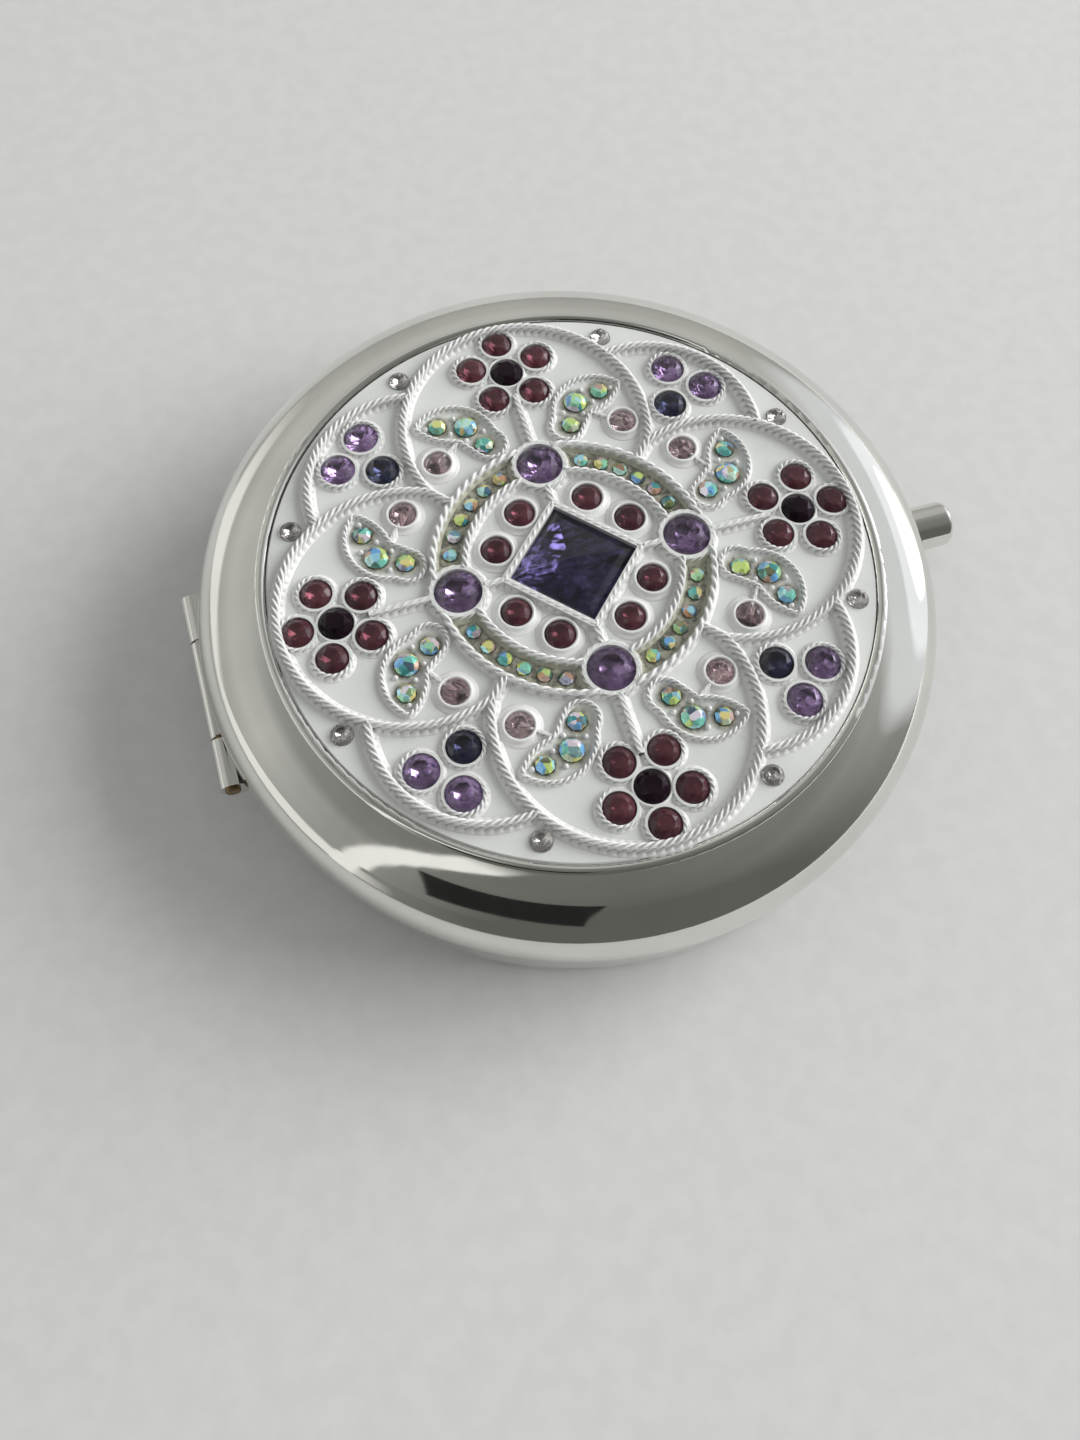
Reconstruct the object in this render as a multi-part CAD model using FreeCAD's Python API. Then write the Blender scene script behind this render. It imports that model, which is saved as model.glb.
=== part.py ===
import FreeCAD, Part
import math
import os
from FreeCAD import Vector

# Round compact mirror with a jewelled plaque, a three-knuckle hinge and a push-button latch.
# Millimetres. Origin at the centre of the underside, +Z up, +X to the button, hinge at -X.

# Case
CASE_R = 38.0           # widest radius, on the belt of the lid
BASE_R = 37.5           # widest radius of the base
WALL = 0.8              # sheet thickness of both shells
PARTING_Z = 7.7         # height of the hinge axis and of the seam
SEAM_GAP = 0.1          # gap between the two shell edges
BASE_CORNER_R = 2.4     # rounded lower corner of the base
BASE_STRAIGHT_Z = 5.2   # top of the straight side of the base
BASE_EDGE_R = 9.5       # curve of the base side towards the seam
LID_BELT_RISE = 1.97    # height of the belt of the lid above the seam
LID_EDGE_R = 6.0        # curve of the lid side towards the seam
SHOULDER_R = 4.8        # curve above the belt
SHOULDER_TILT = 35.0    # slope where the shoulder meets the crown, degrees
CROWN_TILT = 6.0        # slope of the crown at the bead, degrees
FOOT_GROOVE_R = 29.6    # turned ring groove in the underside
FOOT_GROOVE_W = 0.8
FOOT_GROOVE_D = 0.25

# Plaque and its recess
RECESS_R = 30.35
BEAD_W = 0.95
BEAD_RISE = 0.25
PLAQUE_R = 30.28
PLAQUE_T = 1.5
PLAQUE_EDGE = 0.15
ADHESIVE_T = 0.2
ADHESIVE_R = 28.0
ROPE_W = 0.5            # core width of the main rope borders
ROPE_H = 0.75
RING_COLLAR_W = 0.45    # wall round a large stone of the ring
FRAME_W = 0.7           # wall round the square stone
FINE_W = 0.3            # core width of collars and leaf borders
FINE_H = 0.42

# Ornament, all distances from the centre of the plaque
FLOWER_RAD = 24.0       # centre of a five-petal flower, on the X and Y axes
PETAL_RAD = 3.75        # petals round the centre of a flower
CELL_RAD = 16.8         # centre of a large petal-shaped rope
CELL_R = 12.75
LOBE_RAD = 18.1         # centre of a rope lobe on a diagonal
LOBE_R = 10.9
RING_OUT_R = 13.95      # two ropes of the ring
RING_IN_R = 10.75
RING_STONE_RAD = 11.85  # large stones on the ring
RING_AURORA_RAD = 12.3
RING_AURORA_ANGLES = (-24.2, -14.5, -4.8, 4.8, 14.5, 24.2)
GARNET_RAD = 7.85
GARNET_ANGLE = 18.0     # either side of a diagonal
TREFOIL_DARK_RAD = 22.0
TREFOIL_VIOLET_RAD = 26.05
TREFOIL_ANGLE = 4.9     # either side of a diagonal
BORDER_RAD = 28.35
BORDER_ANGLE = 23.3     # either side of an axis
BUD_POS = (10.0, 14.9)
LEAF_STONES = ((8.85, 19.3, 1.9), (6.0, 18.55, 2.4), (4.7, 15.95, 1.95))
LEAF_TIP = (11.2, 19.6)     # outline of a leaf, in order round it
LEAF_BACK = (7.9, 21.25)
LEAF_SHOULDER = (3.2, 17.2)
LEAF_END = (4.4, 14.1)
LEAF_HEEL = (5.75, 15.1)
LEAF_WAIST = (6.4, 15.9)
LEAF_NOTCH = (7.15, 16.9)
LEAF_FRONT = (9.3, 17.65)

# Stones: girdle diameter
D_FLOWER_CENTRE = 3.4
D_PETAL = 3.2
D_RING_STONE = 4.75
D_GARNET = 3.1
D_TREFOIL_DARK = 3.4
D_TREFOIL_VIOLET = 3.5
D_BUD = 2.75
D_BORDER = 2.1
D_RING_AURORA = 1.5
SQUARE_SIDE = 9.3
SQUARE_CROWN = 1.55
SQUARE_PAVILION = 1.1
SEAT_GAP = 0.03         # glue film round and under a stone
SEAT_REACH = 3.0        # seats are cut this far above the enamel
GIRDLE_RISE = 0.2       # girdle above the enamel
GIRDLE_H = 0.08
CROWN_RATIO = 0.21      # crown height over diameter
PAVILION_RATIO = 0.26   # depth below the girdle over diameter
TABLE_RATIO = 0.54
CULET_RATIO = 0.14

# Hinge
HINGE_X = -37.8
BARREL_R = 1.2
PIN_R = 0.75
PIN_OVER = 0.35         # pin stands out at the near end
PIN_CHAMFER = 0.12
PIN_FIT = 0.01          # radial clearance in the outer knuckles
RUN_FIT = 0.05          # radial clearance in the middle knuckle
HINGE_LEN = 21.5
MIDDLE_LEN = 10.9
KNUCKLE_GAP = 0.25
NOTCH_H = 1.8           # cut in the shell edges above and below the hinge axis
NOTCH_REACH = 3.6       # depth of that cut, from the hinge axis into the case
HINGE_ROOM = 0.3        # room round the barrel and past its ends
LEAF_T = 0.6
BASE_LEAF_R = 36.5      # outer radius of the leaf in the base
BASE_LEAF_LOW = 2.6
BASE_LEAF_MID = 5.5     # top of the leaf between the knuckles
BASE_LEAF_TOP = 6.5     # top of the leaf at the knuckles
LID_LEAF_R = 37.0
LID_LEAF_LOW = 1.35     # heights above the seam
LID_LEAF_TOP = 3.0
WRAP_BACK = 0.4         # strap along the barrel, behind and in front of the axis
WRAP_FRONT = 0.7
WRAP_NEAR = 0.85        # strap, distances from the axis plane
WRAP_FAR = 1.4
ARM_NEAR = 1.15         # arm to the leaf, distances from the axis plane
ARM_FAR = 1.55
BASE_ARM = 3.3          # length of the arms, from the axis
LID_ARM = 1.7
WEB_REACH = 1.9         # block between an outer knuckle and the tray, from the axis
WEB_DROP = 0.15         # its top below the axis
LEDGE_REACH = 1.25      # flat ledge on an outer knuckle towards the lid, from the axis
LEDGE_FLAT = 0.85       # end of its flat top, from the axis
LEDGE_TOP = 1.15        # heights of that top and of its sloped edge, above the axis
LEDGE_EDGE = 0.75

# Mirrors and trays
MIRROR_R = 30.0
MIRROR_T = 1.5
WELL_R = 30.2
TRAY_WALL = 0.8
WELL_BEVEL = 0.5
BASE_FLANGE_R = 36.15
LID_FLANGE_R = 36.6
FLANGE_EDGE = 0.15
FLANGE_T = 0.8
FLANGE_SET = 0.15       # flange away from the seam plane
WELL_D = 2.05           # depth of the well below the flange face
TRAY_FLOOR = 0.6
TAPE_T = 0.3
TAPE_R = 26.0
MAGNIFIER_R = 1000.0    # radius of the concave face
MIRROR_EDGE = 0.3       # ground edge
POST_R = 1.6
POST_RAD = 20.0

# Latch
BUTTON_R = 2.55
BUTTON_Z = 3.45
BUTTON_TIP_X = 45.4
BUTTON_FIT = 0.07
BUTTON_ROUND = 0.7
SHANK_R = 0.8
RIVET_R = 1.3
RIVET_T = 0.3
SLIDE_T = 0.6
SLIDE_W = 3.6
SLIDE_FIT = 0.05        # film between sliding or seated parts
FOOT_T = 0.5            # flat of the slide that runs in the guide
PLATE_W = 6.0
PLATE_X = 35.4
PLATE_TOP = 5.0
HOOK_X = 32.3
HOOK_DROP = 1.7         # underside of the hook, below the seam
HOOK_H = 0.55
HOOK_TIP_H = 0.1
TONGUE_X = 33.8
TONGUE_W = 4.0
TONGUE_DROP = 2.3       # lower end of the tongue, below the seam
TONGUE_FOOT = 2.0       # length of the bent foot on the lid tray
TONGUE_ROOM = 0.1       # slot of the lid tray round the tongue
SLOT_IN = 0.8           # slot of the base tray, inwards, outwards and sideways of the tongue
SLOT_OUT = 0.25
SLOT_SIDE = 0.4
SLOT_H = 1.5
LIP_W = 0.6
LIP_H = 0.5
LIP_BEVEL = 0.35
ENGAGE = 0.4            # overlap of hook and lip
GUIDE_X0 = 25.6
GUIDE_X1 = 34.0
GUIDE_T = 0.6
GUIDE_ROOM = 0.4        # between the slide and the sides of the guide
GUIDE_SIDE_H = 1.8
STOP_H = 2.45
SPRING_WIRE = 0.3
SPRING_R = 0.7
SPRING_TURNS = 5

BELT_Z = PARTING_Z + LID_BELT_RISE
BASE_TOP = PARTING_Z - SEAM_GAP / 2.0
LID_BOTTOM = PARTING_Z + SEAM_GAP / 2.0


def rad(a):
    return math.radians(a)


def chain(start, steps):
    """Closed profile in the XZ plane: a step with one point is a line, with two an arc through the first."""
    edges = []
    here = Vector(start[0], 0, start[1])
    first = here
    for step in steps:
        pts = [Vector(p[0], 0, p[1]) for p in step]
        if len(pts) == 1:
            edges.append(Part.makeLine(here, pts[0]))
        else:
            edges.append(Part.Arc(here, pts[0], pts[1]).toShape())
        here = pts[-1]
    if here.distanceToPoint(first) > 1e-6:
        edges.append(Part.makeLine(here, first))
    return Part.Face(Part.Wire(edges))


def turned(start, steps):
    """Solid of revolution about Z."""
    return chain(start, steps).revolve(Vector(0, 0, 0), Vector(0, 0, 1), 360)


def box(x0, x1, y0, y1, z0, z1):
    return Part.makeBox(x1 - x0, y1 - y0, z1 - z0, Vector(x0, y0, z0))


def plate(points, width):
    """Sheet with an outline in the XZ plane, centred on Y."""
    pts = [Vector(x, -width / 2.0, z) for x, z in points]
    face = Part.Face(Part.makePolygon(pts + pts[:1]))
    return face.extrude(Vector(0, width, 0))


def rod(x0, x1, r, z):
    return Part.makeCylinder(r, x1 - x0, Vector(x0, 0, z), Vector(1, 0, 0))


def hinge_rod(y0, y1, r):
    return Part.makeCylinder(r, y1 - y0, Vector(HINGE_X, y0, PARTING_Z), Vector(0, 1, 0))


def on_arc(cx, cz, r, a):
    """Point at angle a from +X towards +Z."""
    return (cx + r * math.cos(rad(a)), cz + r * math.sin(rad(a)))


# Lid profile: belt, shoulder and crown are arcs that run smoothly into each other.
shoulder_c = (CASE_R - SHOULDER_R, BELT_Z)
shoulder_end = on_arc(shoulder_c[0], shoulder_c[1], SHOULDER_R, 90 - SHOULDER_TILT)
crown_in_r = RECESS_R + BEAD_W
CROWN_R = (shoulder_end[0] - crown_in_r) / (math.sin(rad(SHOULDER_TILT)) - math.sin(rad(CROWN_TILT)))
crown_c = on_arc(shoulder_end[0], shoulder_end[1], -CROWN_R, 90 - SHOULDER_TILT)
crown_in = on_arc(crown_c[0], crown_c[1], CROWN_R, 90 - CROWN_TILT)
ENAMEL_Z = crown_in[1]
RECESS_Z = ENAMEL_Z - PLAQUE_T - ADHESIVE_T
LID_CEILING = RECESS_Z - WALL
edge_c = (CASE_R - LID_EDGE_R, BELT_Z)


def lid_edge(offset, z):
    """Radius of the lid side below the belt, at a depth from the outer face."""
    r = LID_EDGE_R - offset
    return edge_c[0] + math.sqrt(r * r - (BELT_Z - z) ** 2)


def base_edge(offset, z):
    """Radius of the base side above its straight stretch, at a depth from the outer face."""
    r = BASE_EDGE_R - offset
    return BASE_R - BASE_EDGE_R + math.sqrt(r * r - (z - BASE_STRAIGHT_Z) ** 2)


def hinge_notch():
    """Room for the barrel in the edges of both shells."""
    half = HINGE_LEN / 2 + HINGE_ROOM
    low = PARTING_Z - NOTCH_H
    return box(HINGE_X - NOTCH_REACH, HINGE_X + NOTCH_REACH, -half, half, low, low + 2 * NOTCH_H)


def make_lid_shell():
    mid_z = (LID_BOTTOM + BELT_Z) / 2.0
    half_turn = (90 - SHOULDER_TILT) / 2.0
    inner_shoulder = SHOULDER_R - WALL
    inner_end = on_arc(shoulder_c[0], shoulder_c[1], inner_shoulder, 90 - SHOULDER_TILT)
    inner_crown = CROWN_R - WALL
    half_tilt = (SHOULDER_TILT + CROWN_TILT) / 2.0
    wall_r = RECESS_R + WALL
    steep = 90 - math.degrees(math.asin((wall_r - crown_c[0]) / inner_crown))
    steps = [
        [(lid_edge(0, mid_z), mid_z), (CASE_R, BELT_Z)],
        [on_arc(shoulder_c[0], shoulder_c[1], SHOULDER_R, half_turn), shoulder_end],
        [on_arc(crown_c[0], crown_c[1], CROWN_R, 90 - half_tilt), crown_in],
        [(RECESS_R + BEAD_W / 2.0, ENAMEL_Z + BEAD_RISE), (RECESS_R, ENAMEL_Z)],
        [(RECESS_R, RECESS_Z)],
        [(0, RECESS_Z)],
        [(0, LID_CEILING)],
        [(wall_r, LID_CEILING)],
        [on_arc(crown_c[0], crown_c[1], inner_crown, steep)],
        [on_arc(crown_c[0], crown_c[1], inner_crown, 90 - half_tilt), inner_end],
        [on_arc(shoulder_c[0], shoulder_c[1], inner_shoulder, half_turn), (CASE_R - WALL, BELT_Z)],
        [(lid_edge(WALL, mid_z), mid_z), (lid_edge(WALL, LID_BOTTOM), LID_BOTTOM)],
    ]
    shell = turned((lid_edge(0, LID_BOTTOM), LID_BOTTOM), steps)
    return shell.cut(hinge_notch())


def make_base_shell():
    mid_z = (BASE_TOP + BASE_STRAIGHT_Z) / 2.0
    flat_r = BASE_R - BASE_CORNER_R
    inner_corner = BASE_CORNER_R - WALL
    groove_out = FOOT_GROOVE_R + FOOT_GROOVE_W
    steps = [
        [(FOOT_GROOVE_R, 0)],
        [(FOOT_GROOVE_R, FOOT_GROOVE_D)],
        [(groove_out, FOOT_GROOVE_D)],
        [(groove_out, 0)],
        [(flat_r, 0)],
        [on_arc(flat_r, BASE_CORNER_R, BASE_CORNER_R, -45), (BASE_R, BASE_CORNER_R)],
        [(BASE_R, BASE_STRAIGHT_Z)],
        [(base_edge(0, mid_z), mid_z), (base_edge(0, BASE_TOP), BASE_TOP)],
        [(base_edge(WALL, BASE_TOP), BASE_TOP)],
        [(base_edge(WALL, mid_z), mid_z), (BASE_R - WALL, BASE_STRAIGHT_Z)],
        [(BASE_R - WALL, BASE_CORNER_R)],
        [on_arc(flat_r, BASE_CORNER_R, inner_corner, -45), (flat_r, WALL)],
        [(0, WALL)],
    ]
    shell = turned((0, 0), steps)
    hole = rod(PLATE_X, BUTTON_TIP_X, BUTTON_R + BUTTON_FIT, BUTTON_Z)
    return shell.cut(hinge_notch()).cut(hole)


def make_tray(face_z, up, flange_r, far_z):
    """Tray with its flange face at face_z, its floor on the side of up and posts that reach far_z."""
    def z(d):
        return face_z + up * d
    out_r = WELL_R + TRAY_WALL
    floor_d = WELL_D + TRAY_FLOOR
    steps = [
        [(WELL_R, z(WELL_D))],
        [(WELL_R, z(WELL_BEVEL))],
        [(WELL_R + WELL_BEVEL, z(0))],
        [(flange_r - FLANGE_EDGE, z(0))],
        [(flange_r, z(FLANGE_EDGE))],
        [(flange_r, z(FLANGE_T))],
        [(out_r, z(FLANGE_T))],
        [(out_r, z(floor_d))],
        [(0, z(floor_d))],
    ]
    tray = turned((0, z(WELL_D)), steps)
    low, high = sorted((z(WELL_D + TRAY_FLOOR / 2.0), far_z))
    for k in range(4):
        a = rad(45 + 90 * k)
        foot = Vector(POST_RAD * math.cos(a), POST_RAD * math.sin(a), low)
        tray = tray.fuse(Part.makeCylinder(POST_R, high - low, foot))
    tray = tray.removeSplitter()
    half = HINGE_LEN / 2 + HINGE_ROOM
    return tray.cut(hinge_rod(-half, half, BARREL_R + HINGE_ROOM))


def make_base_tray():
    tray = make_tray(PARTING_Z - FLANGE_SET, -1, BASE_FLANGE_R, WALL)
    half = TONGUE_W / 2 + SLOT_SIDE
    slot = box(TONGUE_X - SLOT_IN, TONGUE_X + SLIDE_T + SLOT_OUT, -half, half, PARTING_Z - SLOT_H, PARTING_Z)
    return tray.cut(slot)


def make_lid_tray():
    tray = make_tray(PARTING_Z + FLANGE_SET, 1, LID_FLANGE_R, LID_CEILING)
    half = TONGUE_W / 2 + TONGUE_ROOM
    x1 = TONGUE_X + SLIDE_T + TONGUE_ROOM
    slot = box(TONGUE_X - TONGUE_ROOM, x1, -half, half, PARTING_Z, PARTING_Z + SLOT_H)
    return tray.cut(slot)


def make_base_mirror():
    top = PARTING_Z - FLANGE_SET - WELL_D + TAPE_T + MIRROR_T
    low = top - MIRROR_T
    sag = MAGNIFIER_R - math.sqrt(MAGNIFIER_R ** 2 - (MIRROR_R - MIRROR_EDGE) ** 2)
    mid_r = MIRROR_R / 2.0
    mid_z = top - sag + MAGNIFIER_R - math.sqrt(MAGNIFIER_R ** 2 - mid_r ** 2)
    steps = [
        [(MIRROR_R, low)],
        [(MIRROR_R, top - MIRROR_EDGE)],
        [(MIRROR_R - MIRROR_EDGE, top)],
        [(mid_r, mid_z), (0, top - sag)],
    ]
    return turned((0, low), steps)


def make_lid_mirror():
    low = PARTING_Z + FLANGE_SET + WELL_D - TAPE_T - MIRROR_T
    steps = [
        [(MIRROR_R - MIRROR_EDGE, low)],
        [(MIRROR_R, low + MIRROR_EDGE)],
        [(MIRROR_R, low + MIRROR_T)],
        [(0, low + MIRROR_T)],
    ]
    return turned((0, low), steps)


def leaf_sector(r, y0, y1, z0, z1):
    """Strip of sheet that follows the inside of the shell at the hinge."""
    ring = Part.makeCylinder(r, z1 - z0, Vector(0, 0, z0))
    ring = ring.cut(Part.makeCylinder(r - LEAF_T, z1 - z0, Vector(0, 0, z0)))
    return ring.common(box(-CASE_R, 0, y0, y1, z0, z1))


def hinge_arm(y0, y1, side, reach):
    """Strap along a knuckle and the arm to its leaf, below (-1) or above (1) the axis."""
    def slab(x0, x1, near, far):
        z0, z1 = sorted((PARTING_Z + side * near, PARTING_Z + side * far))
        return box(HINGE_X + x0, HINGE_X + x1, y0, y1, z0, z1)
    return [slab(-WRAP_BACK, WRAP_FRONT, WRAP_NEAR, WRAP_FAR), slab(0, reach, ARM_NEAR, ARM_FAR)]


def hinge_ledge(width):
    outline = [
        (0, -WEB_DROP),
        (LEDGE_REACH, -WEB_DROP),
        (LEDGE_REACH, LEDGE_EDGE),
        (LEDGE_FLAT, LEDGE_TOP),
        (0, LEDGE_TOP),
    ]
    return plate([(HINGE_X + x, PARTING_Z + z) for x, z in outline], width)


def make_base_hinge_leaf():
    half = HINGE_LEN / 2
    leaf = leaf_sector(BASE_LEAF_R, -half, half, BASE_LEAF_LOW, BASE_LEAF_MID)
    for side in (-1, 1):
        y0, y1 = sorted((side * (MIDDLE_LEN + KNUCKLE_GAP) / 2, side * half))
        tall = leaf_sector(BASE_LEAF_R, y0, y1, BASE_LEAF_LOW, BASE_LEAF_TOP)
        web = box(HINGE_X, HINGE_X + WEB_REACH, y0, y1, PARTING_Z - WRAP_FAR, PARTING_Z - WEB_DROP)
        ledge = hinge_ledge(y1 - y0)
        ledge.translate(Vector(0, (y0 + y1) / 2, 0))
        leaf = leaf.fuse(hinge_arm(y0, y1, -1, BASE_ARM) + [tall, web, ledge, hinge_rod(y0, y1, BARREL_R)])
    leaf = leaf.removeSplitter()
    return leaf.cut(hinge_rod(-HINGE_LEN, HINGE_LEN, PIN_R + PIN_FIT))


def make_lid_hinge_leaf():
    half = (MIDDLE_LEN - KNUCKLE_GAP) / 2
    leaf = leaf_sector(LID_LEAF_R, -half, half, PARTING_Z + LID_LEAF_LOW, PARTING_Z + LID_LEAF_TOP)
    leaf = leaf.fuse(hinge_arm(-half, half, 1, LID_ARM) + [hinge_rod(-half, half, BARREL_R)]).removeSplitter()
    return leaf.cut(hinge_rod(-HINGE_LEN, HINGE_LEN, PIN_R + RUN_FIT))


def make_hinge_pin():
    half = HINGE_LEN / 2
    pin = hinge_rod(-half - PIN_OVER, half, PIN_R)
    return pin.makeChamfer(PIN_CHAMFER, [e for e in pin.Edges if isinstance(e.Curve, Part.Circle)])


def make_push_button():
    """Head with a rounded end, and a shank riveted through the upright plate of the slide."""
    head_x = PLATE_X + SLIDE_T + SLIDE_FIT
    head = rod(head_x, BUTTON_TIP_X, BUTTON_R, BUTTON_Z)
    rims = [e for e in head.Edges if isinstance(e.Curve, Part.Circle)]
    head = head.makeFillet(BUTTON_ROUND, [max(rims, key=lambda e: e.CenterOfMass.x)])
    rivet_x = PLATE_X - SLIDE_FIT
    shank = rod(rivet_x - RIVET_T, head_x + RIVET_T, SHANK_R, BUTTON_Z)
    rivet = rod(rivet_x - RIVET_T, rivet_x, RIVET_R, BUTTON_Z)
    return head.fuse([shank, rivet]).removeSplitter()


def make_latch_slide():
    low = WALL + GUIDE_T + SLIDE_FIT
    nose_low = PARTING_Z - HOOK_DROP
    tip_x = TONGUE_X - LIP_W + ENGAGE
    end_x = PLATE_X + SLIDE_T
    foot = plate([(HOOK_X, low), (end_x, low), (end_x, low + FOOT_T), (HOOK_X, low + FOOT_T)], SLIDE_W)
    hook = plate([
        (HOOK_X, low),
        (HOOK_X + SLIDE_T, low),
        (HOOK_X + SLIDE_T, nose_low),
        (tip_x, nose_low),
        (tip_x, nose_low + HOOK_TIP_H),
        (HOOK_X + SLIDE_T, nose_low + HOOK_H),
        (HOOK_X, nose_low + HOOK_H),
    ], SLIDE_W)
    upright = plate([(PLATE_X, low), (end_x, low), (end_x, PLATE_TOP), (PLATE_X, PLATE_TOP)], PLATE_W)
    slide = foot.fuse([hook, upright]).removeSplitter()
    return slide.cut(rod(PLATE_X - SLIDE_T, end_x + SLIDE_T, SHANK_R + SLIDE_FIT, BUTTON_Z))


def make_lid_catch():
    """Bent tongue with a lip for the hook and a foot on the back of the lid tray's flange."""
    flange_back = PARTING_Z + FLANGE_SET + FLANGE_T
    low = PARTING_Z - TONGUE_DROP
    lip_x = TONGUE_X - LIP_W
    return plate([
        (TONGUE_X + SLIDE_T, low),
        (TONGUE_X + SLIDE_T, flange_back),
        (TONGUE_X + TONGUE_FOOT, flange_back),
        (TONGUE_X + TONGUE_FOOT, flange_back + SLIDE_T),
        (TONGUE_X, flange_back + SLIDE_T),
        (TONGUE_X, low + LIP_H),
        (lip_x, low + LIP_H),
        (lip_x, low + LIP_BEVEL),
        (TONGUE_X, low),
    ], TONGUE_W)


def make_latch_guide():
    half = SLIDE_W / 2 + GUIDE_ROOM
    out = half + GUIDE_T
    guide = box(GUIDE_X0, GUIDE_X1, -out, out, WALL, WALL + GUIDE_T)
    sides = [box(GUIDE_X0, GUIDE_X1, y, y + GUIDE_T, WALL, WALL + GUIDE_SIDE_H) for y in (-out, half)]
    stop = box(GUIDE_X0, GUIDE_X0 + GUIDE_T, -half, half, WALL, WALL + STOP_H)
    return guide.fuse(sides + [stop]).removeSplitter()


def make_latch_spring():
    """Coil of quarter-turn arcs along X between the stop of the guide and the hook."""
    x0 = GUIDE_X0 + GUIDE_T + SPRING_WIRE / 2 + SLIDE_FIT
    x1 = HOOK_X - SPRING_WIRE / 2 - SLIDE_FIT
    zc = WALL + GUIDE_T + SLIDE_FIT + SPRING_R + SPRING_WIRE / 2
    pitch = (x1 - x0) / SPRING_TURNS

    def at(t):
        a = 2 * math.pi * t
        return Vector(x0 + pitch * t, SPRING_R * math.sin(a), zc + SPRING_R * math.cos(a))
    steps = SPRING_TURNS * 4
    edges = []
    for k in range(steps):
        edges.append(Part.Arc(at(k / 4.0), at((k + 0.5) / 4.0), at((k + 1) / 4.0)).toShape())
    path = Part.Wire(edges)
    tangent = edges[0].tangentAt(edges[0].FirstParameter)
    ring = Part.Wire([Part.makeCircle(SPRING_WIRE / 2, at(0), tangent)])
    coil = path.makePipeShell([ring], True, False)
    print("latch_spring gap between turns", round(pitch - SPRING_WIRE, 3))
    return coil


# Ornament helpers, in the plane of the enamel

def turn(p, deg):
    c, s = math.cos(rad(deg)), math.sin(rad(deg))
    return (c * p[0] - s * p[1], s * p[0] + c * p[1])


def polar(r, deg):
    return (r * math.cos(rad(deg)), r * math.sin(rad(deg)))


def eightfold(p):
    """The eight places that the four axes of the rosette give a point, as (point, turn, mirrored)."""
    places = []
    for k in range(4):
        for m in (1, -1):
            places.append((turn((m * p[0], p[1]), 90 * k), 90 * k, m))
    return places


def band_edges(cx, cy, r, a0, a1):
    c = Vector(cx, cy, 0)
    pts = [c + Vector(*polar(r, a), 0) for a in (a0, (a0 + a1) / 2.0, a1)]
    return Part.Arc(*pts).toShape(), pts[0], pts[2]


def arc_band(cx, cy, r, a0, a1, w):
    """Flat strip of width w along an arc."""
    out, o0, o1 = band_edges(cx, cy, r + w / 2.0, a0, a1)
    inn, i0, i1 = band_edges(cx, cy, r - w / 2.0, a0, a1)
    return Part.Face(Part.Wire([out, Part.makeLine(o1, i1), inn, Part.makeLine(i0, o0)]))


def ring_band(cx, cy, r, w):
    outer = disc(cx, cy, r + w / 2.0)
    return outer.cut(disc(cx, cy, r - w / 2.0))


def disc(cx, cy, r):
    return Part.Face(Part.Wire([Part.makeCircle(r, Vector(cx, cy, 0))]))


def bar(p, q, w):
    """Flat straight strip from p to q."""
    a, b = Vector(p[0], p[1], 0), Vector(q[0], q[1], 0)
    d = (b - a).normalize()
    n = Vector(-d.y, d.x, 0) * (w / 2.0)
    return Part.Face(Part.makePolygon([a + n, b + n, b - n, a - n, a + n]))


def three_point_band(p, via, q, w):
    """Flat strip of width w along the arc through three points."""
    circle = Part.Arc(Vector(*p, 0), Vector(*via, 0), Vector(*q, 0)).toShape().Curve
    c = circle.Center
    r = circle.Radius
    angles = [math.degrees(math.atan2(k[1] - c.y, k[0] - c.x)) for k in (p, via, q)]
    a0, am, a1 = angles
    span = (a1 - a0) % 360
    if (am - a0) % 360 > span:
        span -= 360
    return arc_band(c.x, c.y, r, a0, a0 + span, w)


def merged(faces):
    return faces[0].multiFuse(faces[1:]).removeSplitter()


def raised(flat, height):
    return flat.extrude(Vector(0, 0, height))


def crossing(c0, r0, c1, r1, side):
    """One of the two crossing points of two circles."""
    dx, dy = c1[0] - c0[0], c1[1] - c0[1]
    d = math.hypot(dx, dy)
    a = (r0 * r0 - r1 * r1 + d * d) / (2 * d)
    h = math.sqrt(r0 * r0 - a * a)
    return (c0[0] + (a * dx - side * h * dy) / d, c0[1] + (a * dy + side * h * dx) / d)


def angle_from(c, p):
    return math.degrees(math.atan2(p[1] - c[1], p[0] - c[0]))


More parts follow.
